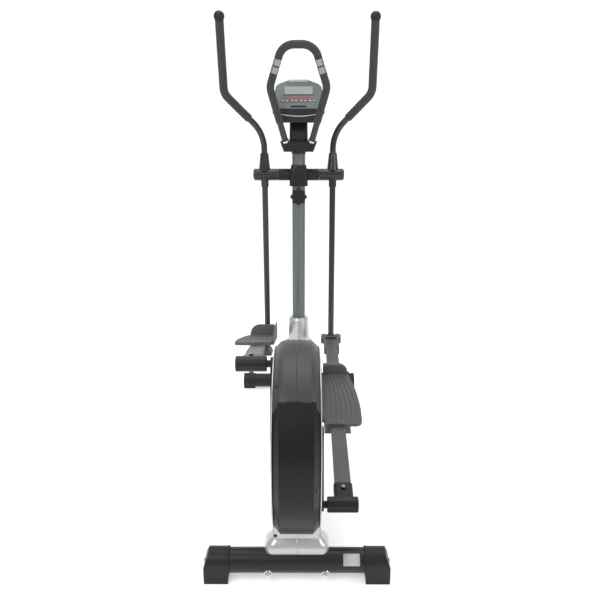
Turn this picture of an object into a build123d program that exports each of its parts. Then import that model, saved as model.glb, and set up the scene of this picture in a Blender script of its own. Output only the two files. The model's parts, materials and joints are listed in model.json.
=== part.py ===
from build123d import *
from math import asin, atan2, cos, degrees, hypot, radians, sin
import os

# An elliptical trainer, in millimetres. X runs across it to the user's right, Y forward from the
# drum to the mast, Z up. The origin is on the floor under the middle of the machine.

# ---- Driving dimensions -------------------------------------------------------------------
REAR_Y = -642.5  # axis of the rear stabilizer
FRONT_Y = REAR_Y + 1342.0  # axis of the front stabilizer
HALF_WIDTH = 270.0  # out to the faces of the feet
REAR_Z, REAR_R = 54.0, 36.0
FRONT_Z, FRONT_R = 35.0, 32.5
TUBE_WALL = 3.0

CRANK_Y, CRANK_Z = REAR_Y + 133.5, 391.5
CRANK_RADIUS = 211.0
DRUM_R = 280.0
RIM_HALF = 63.0  # half width of the drum's black rim
SHELL_HALF = 67.0  # out to the silver side shells
ARM_IN, ARM_OUT = 70.5, 79.5  # inner and outer face of a crank arm

PIVOT_Y, PIVOT_Z = REAR_Y + 1121.5, 1058.0  # the axis that both handles swing about
LOWER_ARM = 710.0  # swing axis to the pedal bar's front pivot
ARM_REST = 3.8  # degrees that each lower arm stands off the vertical
ARM_X = 141.0  # the plane of the arms and the pedal bars
MAST_R = 27.5
PIVOT_R = 24.5  # outside of the cross tube and of the sleeves on it
HANDLE_R, FOAM_R = 12.5, 16.5

BAR_W, BAR_H = 50.0, 25.0
PIN_R, HOUSING_R = 11.0, 23.5
FIT = 0.06  # radial running clearance

LOOP_LEAN = 25.6  # the fixed handlebar leans to the user
CONSOLE_LEAN = -16.9
BUTTONS = 4

# ---- Linkage at rest ----------------------------------------------------------------------
# The crank stands where both pedal bars come out at the same length.
reach = PIVOT_Y - CRANK_Y
drop = PIVOT_Z - LOWER_ARM * cos(radians(ARM_REST)) - CRANK_Z
crank_lean = asin(reach * LOWER_ARM * sin(radians(ARM_REST)) / (CRANK_RADIUS * hypot(reach, drop)))
crank_lean -= atan2(drop, reach)


def pin_at(side):
    """Y and Z of a crank pin: the left one stands up and forward, the right one down and back."""
    return (CRANK_Y - side * CRANK_RADIUS * sin(crank_lean),
            CRANK_Z - side * CRANK_RADIUS * cos(crank_lean))


def foot_at(side):
    """Y and Z of the pivot at the lower end of a swing arm."""
    tilt = radians(-side * ARM_REST)
    return PIVOT_Y + LOWER_ARM * sin(tilt), PIVOT_Z - LOWER_ARM * cos(tilt)


BAR_LENGTH = hypot(foot_at(1)[0] - pin_at(1)[0], foot_at(1)[1] - pin_at(1)[1])


# ---- Planes -------------------------------------------------------------------------------
def tilted(x, y, z, pitch):
    """A frame with its X across the machine and its Y forward, pitched up by some degrees."""
    a = radians(pitch)
    return Plane(origin=(x, y, z), x_dir=(1, 0, 0), z_dir=(0, -sin(a), cos(a)))


def flank(frame, x):
    """The frame's side plane at x: X forward, Y up, its normal across the machine."""
    return Plane(origin=frame.from_local_coords((x, 0, 0)), x_dir=frame.y_dir, z_dir=frame.x_dir)


def behind(frame, y):
    """The frame's cross plane at y: X across, Y up, its normal backward."""
    return Plane(origin=frame.from_local_coords((0, y, 0)), x_dir=frame.x_dir, z_dir=-frame.y_dir)


def radial(frame_y, frame_z, back):
    """A plane through an axis along X: X along the axis, Y outward at an angle back from the top."""
    a = radians(back)
    return Plane(origin=(0, frame_y, frame_z), x_dir=(1, 0, 0), z_dir=(0, -cos(a), -sin(a)))


def save(part, name):
    """Label a finished piece and write it as its own file."""
    part.label = name
    export_step(part, f"parts/{name}.step")


rear = tilted(0, REAR_Y, REAR_Z, 0)
front = tilted(0, FRONT_Y, FRONT_Z, 0)
crank = tilted(0, CRANK_Y, CRANK_Z, 0)
pivot = tilted(0, PIVOT_Y, PIVOT_Z, 0)
os.makedirs("parts", exist_ok=True)

SIDES = (("left", -1), ("right", 1))

# ---- Stabilizers, feet and wheels ---------------------------------------------------------
FOOT_W = 70.0
FOOT_SLEEVE = 3.0  # wall of a foot around its tube
FOOT_SLOPE = 15.0  # how far a foot's outer face leans in at its top
TUBE_END = HALF_WIDTH - 12.0
PLUG_SEAT = TUBE_END + 3.0  # floor of the recess that holds a foot's red plug
PLUG_HOLE_R, PLUG_R, PLUG_LONG = 6.0, 5.7, 10.5

with BuildPart() as rear_stabilizer:
    with BuildSketch(flank(rear, 0)):
        Circle(REAR_R)
        Circle(REAR_R - TUBE_WALL, mode=Mode.SUBTRACT)
    extrude(amount=TUBE_END, both=True)
save(rear_stabilizer.part, "rear_stabilizer")

with BuildPart() as front_stabilizer:
    with BuildSketch(flank(front, 0)):
        Circle(FRONT_R)
        Circle(FRONT_R - TUBE_WALL, mode=Mode.SUBTRACT)
    extrude(amount=TUBE_END, both=True)
save(front_stabilizer.part, "front_stabilizer")


def rear_foot(side):
    """A moulded boot on a tube's end, flat below, its outer face sloping in at the top."""
    half, top = REAR_R + FOOT_SLEEVE, REAR_Z + REAR_R + FOOT_SLEEVE
    inner, outer = HALF_WIDTH - FOOT_W, HALF_WIDTH
    with BuildPart() as foot:
        with BuildSketch(flank(rear, side * inner)):
            Circle(half)
            with Locations((0, -REAR_Z / 2)):
                Rectangle(2 * half, REAR_Z)
        extrude(amount=side * FOOT_W)
        with BuildSketch(behind(rear, half + 1)):
            with BuildLine():
                Polyline((side * outer, 0), (side * (outer - FOOT_SLOPE), half + 1),
                         (side * (outer + 1), half + 1), (side * (outer + 1), 0), close=True)
            make_face()
        extrude(amount=2 * half + 2, mode=Mode.SUBTRACT)
        with BuildSketch(flank(rear, side * inner)):
            Circle(REAR_R)
        extrude(amount=side * (TUBE_END - inner), mode=Mode.SUBTRACT)
        with BuildSketch(flank(rear, side * PLUG_SEAT)):
            Circle(PLUG_HOLE_R)
        extrude(amount=side * FOOT_SLOPE, mode=Mode.SUBTRACT)
    return foot.part


for name, side in SIDES:
    save(rear_foot(side), f"rear_foot_{name}")

with BuildPart() as foot_plugs:
    for side in (-1, 1):
        with BuildSketch(flank(rear, side * PLUG_SEAT)):
            Circle(PLUG_R)
        extrude(amount=side * PLUG_LONG)
save(foot_plugs.part, "foot_plugs")

WHEEL_R, WHEEL_W, WHEEL_X = 24.0, 22.0, 240.0
WHEEL_Y, WHEEL_Z = 59.0, -5.0  # wheel axle from the front stabilizer's axis
AXLE_R = 5.0
CAP_W, CAP_WALL, CAP_FOOT = 55.0, 2.5, 44.0  # width, wall and the length of its flat foot
FORK, FORK_GAP = 7.0, 1.0  # thickness of a wheel fork's cheek and the wheel's gap to it
FORK_R, FORK_HIGH = 11.0, 22.0

with BuildPart() as front_caps:
    for side in (-1, 1):
        with BuildSketch(flank(front, side * (HALF_WIDTH - CAP_W))):
            Circle(FRONT_R + CAP_WALL)
            with Locations((0, -FRONT_Z / 2)):
                Rectangle(CAP_FOOT, FRONT_Z)
            Circle(FRONT_R, mode=Mode.SUBTRACT)
        extrude(amount=side * CAP_W)
        with BuildSketch(flank(front, side * TUBE_END)):
            Circle(FRONT_R)
        extrude(amount=side * (HALF_WIDTH - TUBE_END))
        fork_in = WHEEL_X - WHEEL_W / 2 - FORK_GAP - FORK
        for inner in (fork_in, WHEEL_X + WHEEL_W / 2 + FORK_GAP):
            with BuildSketch(flank(front, side * inner)):
                with Locations((WHEEL_Y / 2 + 14.0, WHEEL_Z)):
                    Rectangle(WHEEL_Y - 12.0, FORK_HIGH)
                with Locations((WHEEL_Y, WHEEL_Z)):
                    Circle(FORK_R)
                Circle(FRONT_R, mode=Mode.SUBTRACT)
            extrude(amount=side * FORK)
        with BuildSketch(flank(front, side * fork_in)):
            with Locations((WHEEL_Y, WHEEL_Z)):
                Circle(AXLE_R)
        extrude(amount=side * (WHEEL_W + 2 * FORK + 2 * FORK_GAP))
        with BuildSketch(flank(front, side * (WHEEL_X - WHEEL_W / 2 - FORK_GAP))):
            with Locations((WHEEL_Y, WHEEL_Z)):
                Circle(WHEEL_R + 2 * FORK_GAP)
                Circle(AXLE_R, mode=Mode.SUBTRACT)
        extrude(amount=side * (WHEEL_W + 2 * FORK_GAP), mode=Mode.SUBTRACT)
save(front_caps.part, "front_caps")

for name, side in SIDES:
    with BuildPart() as wheel:
        with BuildSketch(flank(front, side * WHEEL_X)):
            with Locations((WHEEL_Y, WHEEL_Z)):
                Circle(WHEEL_R)
                Circle(AXLE_R + FIT, mode=Mode.SUBTRACT)
        extrude(amount=WHEEL_W / 2, both=True)
        fillet(wheel.edges().filter_by(GeomType.CIRCLE).sort_by(SortBy.RADIUS)[-2:], 3.0)
    save(wheel.part, f"transport_wheel_{name}")

# ---- Base rail, crank post and mast -------------------------------------------------------
RAIL_W, RAIL_LOW, RAIL_TOP = 60.0, 24.0, 62.0
POST_X, POST_Y = 25.0, 20.0
BRACKET_R, BRACKET_HALF = 26.0, 34.0
BEARING_R, BEARING_W = 19.0, 12.0
AXLE_MAIN = 10.0
FLY_Y, FLY_Z = CRANK_Y + 106.0, CRANK_Z - 106.0
FLY_R, FLY_AXLE = 112.0, 8.0
PULLEY_R, SMALL_R = 118.0, 20.0
PULLEY_IN, PULLEY_OUT = 39.0, 54.0
fly = tilted(0, FLY_Y, FLY_Z, 0)

with BuildPart() as base_rail:
    rail_long = FRONT_Y - REAR_Y
    with BuildSketch(behind(tilted(0, REAR_Y, 0, 0), 0)):
        with Locations((0, (RAIL_LOW + RAIL_TOP) / 2)):
            RectangleRounded(RAIL_W, RAIL_TOP - RAIL_LOW, 6.0)
            Rectangle(RAIL_W - 6.0, RAIL_TOP - RAIL_LOW - 6.0, mode=Mode.SUBTRACT)
    extrude(amount=-rail_long)
    for tube, radius in ((rear, REAR_R), (front, FRONT_R)):
        with BuildSketch(flank(tube, 0)):
            Circle(radius)
        extrude(amount=RAIL_W, both=True, mode=Mode.SUBTRACT)
base_rail_main = base_rail.part.solids().sort_by(SortBy.VOLUME)[-1]
save(base_rail_main, "base_rail")

with BuildPart() as crank_post:
    with BuildSketch(Plane.XY.offset(RAIL_TOP)):
        with Locations((0, CRANK_Y)):
            Rectangle(2 * POST_X, 2 * POST_Y)
            Rectangle(2 * POST_X - 6.0, 2 * POST_Y - 6.0, mode=Mode.SUBTRACT)
    extrude(amount=CRANK_Z - RAIL_TOP)
    with BuildSketch(flank(crank, 0)):
        Circle(BRACKET_R)
    extrude(amount=BRACKET_HALF, both=True)
    with BuildSketch(flank(fly, 0)):
        Circle(16.0)
    extrude(amount=24.0, both=True)
    with BuildSketch(flank(fly, 0)):
        with BuildLine():
            Polyline((-106.0 + POST_Y, -60.0), (8.0, -14.0), (8.0, 14.0), (-106.0 + POST_Y, 40.0),
                     close=True)
        make_face()
    extrude(amount=5.0, both=True)
    with BuildSketch(flank(crank, 0)):
        Circle(BEARING_R)
    extrude(amount=BRACKET_HALF, both=True, mode=Mode.SUBTRACT)
    with BuildSketch(flank(fly, 0)):
        Circle(FLY_AXLE + FIT)
    extrude(amount=30.0, both=True, mode=Mode.SUBTRACT)
save(crank_post.part, "crank_post")

with BuildPart() as crank_bearings:
    for inner in (-BRACKET_HALF, BRACKET_HALF - BEARING_W):
        with BuildSketch(flank(crank, inner)):
            Circle(BEARING_R)
            Circle(AXLE_MAIN + FIT, mode=Mode.SUBTRACT)
        extrude(amount=BEARING_W)
save(crank_bearings.part, "crank_bearings")

KNOB_Z = 973.0
KNOB_STEM, KNOB_BOSS = 6.0, 11.0
MAST_TOP = PIVOT_Z - 20.0
with BuildPart() as mast:
    with BuildSketch(Plane.XY.offset(RAIL_TOP)):
        with Locations((0, PIVOT_Y)):
            Circle(MAST_R)
    extrude(amount=MAST_TOP - RAIL_TOP)
    with BuildSketch(Plane.XY.offset(RAIL_TOP)):
        with Locations((0, PIVOT_Y)):
            RectangleRounded(RAIL_W, 90.0, 8.0)
    extrude(amount=8.0)
    with BuildSketch(Plane.XY.offset(RAIL_TOP)):
        with Locations((0, PIVOT_Y)):
            Circle(MAST_R - TUBE_WALL)
    extrude(amount=MAST_TOP - RAIL_TOP, mode=Mode.SUBTRACT)
    with BuildSketch(behind(tilted(0, PIVOT_Y, KNOB_Z, 0), -MAST_R + TUBE_WALL)):
        Circle(KNOB_BOSS)
    extrude(amount=12.0)
    with BuildSketch(behind(tilted(0, PIVOT_Y, KNOB_Z, 0), 0)):
        Circle(KNOB_STEM + FIT)
    extrude(amount=60.0, mode=Mode.SUBTRACT)
    with BuildSketch(flank(pivot, 0)):
        Circle(PIVOT_R)
    extrude(amount=MAST_R + 5, both=True, mode=Mode.SUBTRACT)
save(mast.part, "mast")

# The boot in section, as radius and height, up its outside and down its inside.
BOOT_LOW, BOOT_RING, BOOT_TOP = RAIL_TOP + 8.0, 309.0, 439.0
BOOT_OUTSIDE = ((66.0, BOOT_LOW), (66.0, BOOT_RING), (62.0, 323.0), (52.0, 331.0),
                (47.0, 335.0), (42.5, 430.0), (36.0, BOOT_TOP), (MAST_R, BOOT_TOP))
BOOT_INSIDE = ((MAST_R, 424.0), (39.5, 424.0), (43.5, 332.0), (59.0, 319.0),
               (63.0, BOOT_RING), (63.0, BOOT_LOW))
with BuildPart() as mast_boot:
    with BuildSketch(flank(tilted(0, PIVOT_Y, 0, 0), 0)):
        with BuildLine():
            Polyline(*BOOT_OUTSIDE, *BOOT_INSIDE, close=True)
        make_face()
    revolve(axis=Axis((0, PIVOT_Y, 0), (0, 0, 1)))
save(mast_boot.part, "mast_boot")

# ---- Cross tube, swing shaft, hub covers and upper post -----------------------------------
CROSS_HALF, SHAFT_HALF, SHAFT_R = 84.0, 176.0, 10.0
with BuildPart() as cross_tube:
    with BuildSketch(flank(pivot, 0)):
        Circle(PIVOT_R)
        Circle(SHAFT_R, mode=Mode.SUBTRACT)
    extrude(amount=CROSS_HALF, both=True)
save(cross_tube.part, "cross_tube")

with BuildPart() as swing_shaft:
    with BuildSketch(flank(pivot, 0)):
        Circle(SHAFT_R)
    extrude(amount=SHAFT_HALF, both=True)
    chamfer(swing_shaft.edges().filter_by(GeomType.CIRCLE), 1.0)
save(swing_shaft.part, "swing_shaft")

POST_TOP = 1208.0
with BuildPart() as upper_post:
    with BuildSketch(Plane.XY.offset(PIVOT_Z)):
        with Locations((0, PIVOT_Y)):
            Circle(MAST_R)
            Circle(MAST_R - TUBE_WALL, mode=Mode.SUBTRACT)
    extrude(amount=POST_TOP - PIVOT_Z)
    with BuildSketch(flank(pivot, 0)):
        Circle(PIVOT_R)
    extrude(amount=MAST_R + 5, both=True, mode=Mode.SUBTRACT)
save(upper_post.part, "upper_post")

HUB_LOW, HUB_SHOULDER, HUB_TOP, HUB_HALF = 1014.0, 1072.0, 1098.0, 38.0
HUB_SEAM = 0.6
HUB_LEVELS = ((HUB_LOW, 76.0, 80.0, 16.0), (HUB_SHOULDER, 72.0, 76.0, 16.0), (HUB_TOP, 62.0, 64.0, 24.0))
HUB_NOTCH = ((-9.0, -45.0), (0.0, -28.0), (9.0, -45.0))
with BuildPart() as hub_covers:
    for height, wide, deep, corner in HUB_LEVELS:
        with BuildSketch(Plane.XY.offset(height)):
            with Locations((0, PIVOT_Y)):
                RectangleRounded(wide, deep, corner)
    loft(ruled=True)
    with BuildSketch(Plane.XY.offset(HUB_LOW)):
        with Locations((0, PIVOT_Y)):
            Circle(MAST_R)
    extrude(amount=HUB_TOP - HUB_LOW, mode=Mode.SUBTRACT)
    with BuildSketch(flank(pivot, 0)):
        Circle(PIVOT_R)
    extrude(amount=HUB_HALF + 5, both=True, mode=Mode.SUBTRACT)
    with BuildSketch(Plane.XY.offset(HUB_LOW)):
        with Locations((0, PIVOT_Y)):
            Rectangle(3 * HUB_HALF, HUB_SEAM)
    extrude(amount=HUB_TOP - HUB_LOW, mode=Mode.SUBTRACT)
    with BuildSketch(behind(pivot, -HUB_HALF - 4)):
        with BuildLine():
            Polyline(*HUB_NOTCH, close=True)
        make_face()
    extrude(amount=16.0, mode=Mode.SUBTRACT)
save(hub_covers.part, "hub_covers")

# ---- Drum: rim, upper cover, side shells and base covers ----------------------------------
LID_BACK, LID_FRONT = 44.0, 60.0  # degrees that the upper cover reaches down from the top
LID_GAP = 0.4


def rim_profile(swell):
    """The drum's outer wall in section: a flat crown with bevelled shoulders."""
    crown, shoulder, wall = 46.0, DRUM_R - 19.0, 4.0
    with BuildLine() as line:
        Polyline((-RIM_HALF - swell / 2, shoulder - 12), (-RIM_HALF - swell / 2, shoulder),
                 (-crown, DRUM_R + swell), (crown, DRUM_R + swell),
                 (RIM_HALF + swell / 2, shoulder), (RIM_HALF + swell / 2, shoulder - 12),
                 (RIM_HALF - wall, shoulder - 12), (RIM_HALF - wall, shoulder - 2),
                 (crown - 1, DRUM_R - wall), (1 - crown, DRUM_R - wall),
                 (wall - RIM_HALF, shoulder - 2), (wall - RIM_HALF, shoulder - 12), close=True)
    return line.line


def drum_arc(start, arc, swell):
    """A stretch of the drum's wall, from an angle back from the top, turning down and forward."""
    outline = rim_profile(swell)
    with BuildPart() as wall:
        with BuildSketch(radial(CRANK_Y, CRANK_Z, start)):
            with BuildLine():
                add(outline)
            make_face()
        revolve(axis=Axis((0, CRANK_Y, CRANK_Z), (1, 0, 0)), revolution_arc=arc)
    return wall.part


with BuildPart() as rim_cover:
    add(drum_arc(LID_BACK + LID_GAP, 360 - LID_BACK - LID_FRONT - 2 * LID_GAP, 0.0))
    with BuildSketch(Plane.XY.offset(RAIL_TOP)):
        with Locations((0, CRANK_Y)):
            Rectangle(2 * POST_X + 2, 2 * POST_Y + 2)
    extrude(amount=CRANK_Z - RAIL_TOP - DRUM_R / 2, mode=Mode.SUBTRACT)
save(rim_cover.part, "rim_cover")

with BuildPart() as upper_cover:
    add(drum_arc(-LID_FRONT, LID_BACK + LID_FRONT, 2.0))
save(upper_cover.part, "upper_cover")

for name, side in SIDES:
    with BuildPart() as shell:
        with BuildSketch(flank(crank, side * (RIM_HALF + 1.2))):
            Circle(DRUM_R - 17.0)
            Circle(14.0, mode=Mode.SUBTRACT)
        extrude(amount=side * (SHELL_HALF - RIM_HALF - 1.2))
        outer_rim = shell.faces().sort_by(Axis.X)[-1 if side > 0 else 0].outer_wire().edges()
        chamfer(outer_rim, 1.5)
    save(shell.part, f"side_shell_{name}")

BASE_LOW, BASE_LEVEL = REAR_Z + 27.0, REAR_Z + 50.0
BASE_SHOULDER, BASE_RIDGE, BASE_TOP = REAR_Z + 66.0, REAR_Z + 73.0, REAR_Z + 172.0
BASE_HALF, COLUMN_HALF = 94.0, 69.6
BASE_Y, BASE_LONG = REAR_Y + 24.0, 66.0
BASE_GAP = 0.25  # half of the seam between the two base covers


def base_block(grow):
    """The base cover's outer shape, or the hollow inside it where grow is negative."""
    with BuildPart() as block:
        for low, high, wide, top_half, long in (
                (BASE_LOW, BASE_LEVEL, BASE_HALF, BASE_HALF, BASE_LONG + 20),
                (BASE_LEVEL, BASE_SHOULDER, BASE_HALF, BASE_HALF - 8, BASE_LONG + 20),
                (BASE_SHOULDER, BASE_RIDGE, BASE_HALF - 8, COLUMN_HALF + 8, BASE_LONG)):
            with BuildSketch(Plane.XY.offset(low)):
                with Locations((0, BASE_Y)):
                    RectangleRounded(2 * (wide + grow), long + 2 * grow, 24.0)
            with BuildSketch(Plane.XY.offset(high)):
                with Locations((0, BASE_Y)):
                    RectangleRounded(2 * (top_half + grow), long + 2 * grow, 24.0)
            loft()
        with BuildSketch(Plane.XY.offset(BASE_RIDGE)):
            with Locations((0, BASE_Y)):
                RectangleRounded(2 * (COLUMN_HALF + grow * 0.6), BASE_LONG - 6 + 2 * grow, 5.0)
        extrude(amount=BASE_TOP - BASE_RIDGE)
    return block.part


base_shape, base_hollow = base_block(0.0), base_block(-3.5)
for name, side in SIDES:
    with BuildPart() as base_cover:
        add(base_shape)
        add(base_hollow, mode=Mode.SUBTRACT)
        with BuildSketch(Plane.XY.offset(BASE_RIDGE - 3.5)):
            with Locations((0, BASE_Y)):
                Rectangle(2 * COLUMN_HALF - 8, BASE_LONG - 16)
        extrude(amount=4.0, mode=Mode.SUBTRACT)
        with BuildSketch(flank(crank, 0)):
            Circle(DRUM_R + 0.6)
        extrude(amount=RIM_HALF + 0.4, both=True, mode=Mode.SUBTRACT)
        with BuildSketch(flank(crank, 0)):
            Circle(DRUM_R - 16.4)
        extrude(amount=SHELL_HALF + 0.3, both=True, mode=Mode.SUBTRACT)
        with BuildSketch(flank(rear, 0)):
            Circle(REAR_R + 0.3)
        extrude(amount=BASE_HALF + 10, both=True, mode=Mode.SUBTRACT)
        with BuildSketch(Plane.XY.offset(BASE_LOW)):
            with Locations((0, CRANK_Y)):
                Rectangle(2 * POST_X + 2, 2 * POST_Y + 2)
        extrude(amount=BASE_TOP, mode=Mode.SUBTRACT)
        with BuildSketch(flank(crank, side * BASE_GAP)):
            Rectangle(4 * DRUM_R, 4 * DRUM_R)
        extrude(amount=-side * 2 * BASE_HALF, mode=Mode.SUBTRACT)
    keep = base_cover.part.solids().sort_by(SortBy.VOLUME)[-1]
    save(keep, f"base_cover_{name}")

# ---- Crank, flywheel, belt and brake ------------------------------------------------------
with BuildPart() as crank_axle:
    with BuildSketch(flank(crank, 0)):
        Circle(AXLE_MAIN)
    extrude(amount=ARM_OUT, both=True)
save(crank_axle.part, "crank_axle")

with BuildPart() as drive_pulley:
    with BuildSketch(flank(crank, PULLEY_IN)):
        Circle(PULLEY_R)
        Circle(AXLE_MAIN, mode=Mode.SUBTRACT)
    extrude(amount=PULLEY_OUT - PULLEY_IN)
    with BuildSketch(flank(crank, PULLEY_OUT - 5.0)):
        Circle(PULLEY_R - 12.0)
        Circle(26.0, mode=Mode.SUBTRACT)
    extrude(amount=6.0, mode=Mode.SUBTRACT)
    with BuildSketch(flank(crank, PULLEY_IN)):
        with PolarLocations(70.0, 6):
            Circle(20.0)
    extrude(amount=PULLEY_OUT - PULLEY_IN, mode=Mode.SUBTRACT)
save(drive_pulley.part, "drive_pulley")

for name, side in SIDES:
    lean = degrees(crank_lean) + (0 if side < 0 else 180)
    along = Plane(origin=(side * ARM_IN, CRANK_Y, CRANK_Z), x_dir=(0, sin(radians(lean)),
                  cos(radians(lean))), z_dir=(1, 0, 0))
    with BuildPart() as crank_arm:
        with BuildSketch(along):
            with Locations((CRANK_RADIUS / 2, 0)):
                Rectangle(CRANK_RADIUS, 32.0)
            Circle(24.0)
            with Locations((CRANK_RADIUS, 0)):
                Circle(20.0)
            Circle(AXLE_MAIN, mode=Mode.SUBTRACT)
        extrude(amount=side * (ARM_OUT - ARM_IN))
    save(crank_arm.part, f"crank_arm_{name}")

with BuildPart() as flywheel:
    with BuildSketch(flank(fly, -54.0)):
        Circle(FLY_R)
        Circle(FLY_AXLE, mode=Mode.SUBTRACT)
    extrude(amount=24.0)
    for face_at, depth in ((-55.0, 9.0), (-38.0, 9.0)):
        with BuildSketch(flank(fly, face_at)):
            Circle(FLY_R - 24.0)
            Circle(22.0, mode=Mode.SUBTRACT)
        extrude(amount=depth, mode=Mode.SUBTRACT)
save(flywheel.part, "flywheel")

with BuildPart() as flywheel_axle:
    with BuildSketch(flank(fly, -57.0)):
        Circle(FLY_AXLE)
    extrude(amount=PULLEY_OUT + 2 + 57.0)
    with BuildSketch(flank(fly, PULLEY_IN - 2)):
        Circle(SMALL_R)
    extrude(amount=PULLEY_OUT - PULLEY_IN + 4)
save(flywheel_axle.part, "flywheel_axle")

with BuildPart() as drive_belt:
    for grown, mode in ((3.4, Mode.ADD), (0.5, Mode.SUBTRACT)):
        with BuildSketch(flank(crank, PULLEY_IN + 1.5)):
            Circle(PULLEY_R + grown)
            with Locations((FLY_Y - CRANK_Y, FLY_Z - CRANK_Z)):
                Circle(SMALL_R + grown)
            make_hull()
        extrude(amount=PULLEY_OUT - PULLEY_IN - 3.0, mode=mode)
save(drive_belt.part, "drive_belt")

with BuildPart() as magnet_brake:
    with BuildSketch(flank(fly, -60.0)):
        Circle(FLY_R + 10.0)
        Circle(FLY_R + 2.0, mode=Mode.SUBTRACT)
        with BuildLine():
            Polyline((0, 0), (-300, -60), (-300, 120), close=True)
        make_face(mode=Mode.INTERSECT)
    extrude(amount=35.0)
    with BuildSketch(flank(fly, -28.5)):
        with Locations((-FLY_R - 1.0, 16.0)):
            Rectangle(20.0, 50.0)
    extrude(amount=3.5)
save(magnet_brake.part, "magnet_brake")

BOLT_X, BOLT_DROP = 84.0, 32.0  # bolts either side, and degrees below level on the tube's rear
WASHER_R, WASHER = 12.0, 3.0
BOLT_HEX_R, BOLT_HEAD = 8.5, 6.0
with BuildPart() as stabilizer_bolts:
    for x in (-BOLT_X, BOLT_X):
        away = tilted(x, REAR_Y, REAR_Z, BOLT_DROP)
        with BuildSketch(behind(away, 1 - REAR_R)):
            Circle(WASHER_R)
        extrude(amount=WASHER)
        with BuildSketch(behind(away, 1 - REAR_R - WASHER)):
            RegularPolygon(BOLT_HEX_R, 6)
        extrude(amount=BOLT_HEAD)
        with BuildSketch(behind(away, 1 - REAR_R - WASHER - BOLT_HEAD)):
            Circle(BOLT_HEX_R - 1.5)
        extrude(amount=4.0, taper=25)
    with BuildSketch(flank(rear, 0)):
        Circle(REAR_R)
    extrude(amount=2 * BOLT_X, both=True, mode=Mode.SUBTRACT)
save(stabilizer_bolts.part, "stabilizer_bolts")

with BuildPart() as knob:
    knob_frame = tilted(0, PIVOT_Y - MAST_R, KNOB_Z, 0)
    with BuildSketch(behind(knob_frame, 20.0)):
        Circle(KNOB_STEM)
    extrude(amount=38.0)
    with BuildSketch(behind(knob_frame, -13.0)):
        Circle(14.0)
    extrude(amount=8.0)
    with BuildSketch(behind(knob_frame, -17.0)):
        Circle(29.0)
        with PolarLocations(27.0, 8):
            Circle(7.5)
    extrude(amount=17.0)
    fillet(knob.faces().sort_by(Axis.Y)[0].edges(), 2.5)
    with BuildSketch(behind(knob_frame, -33.0)):
        Circle(17.0)
    extrude(amount=4.0)
    with BuildSketch(behind(knob_frame, -37.0)):
        Circle(13.0)
    extrude(amount=2.0, mode=Mode.SUBTRACT)
save(knob.part, "knob")

# ---- Swing arms, handles and grips --------------------------------------------------------
SLEEVE_IN, SLEEVE_OUT, DOME = 85.0, 178.0, 10.0
SOCKET_LOW, SOCKET_TOP = 18.0, 88.0
TEE_R, TEE_HALF, TEE_PIN = 21.0, 24.6, 8.0
COLLAR_Z = 50.0  # the lower collar ends this far below the swing axis
HANDLE_CORNERS = ((0.0, 28.0), (0.0, 166.0), (153.0, 322.0), (156.0, 586.0))  # outward, up
HANDLE_LEANS = (0.0, 0.0, -32.0, -62.0)  # forward at each corner, so back to the user
HANDLE_BENDS = (150.0, 58.0)
GRIP_START = (57.0, 224.1, -11.9)  # on the handle's slanting run: outward, up, forward
BALL_R = 20.5


def handle_points(side, arm):
    """The corners of a handle's centre line, as points in the row's own axes."""
    return [arm.from_local_coords((side * (ARM_X + out), lean, up))
            for (out, up), lean in zip(HANDLE_CORNERS, HANDLE_LEANS)]


def start_plane(first, second):
    """A plane at a path's first point, square to its first run."""
    return Plane(origin=first, z_dir=(second - first))


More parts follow.
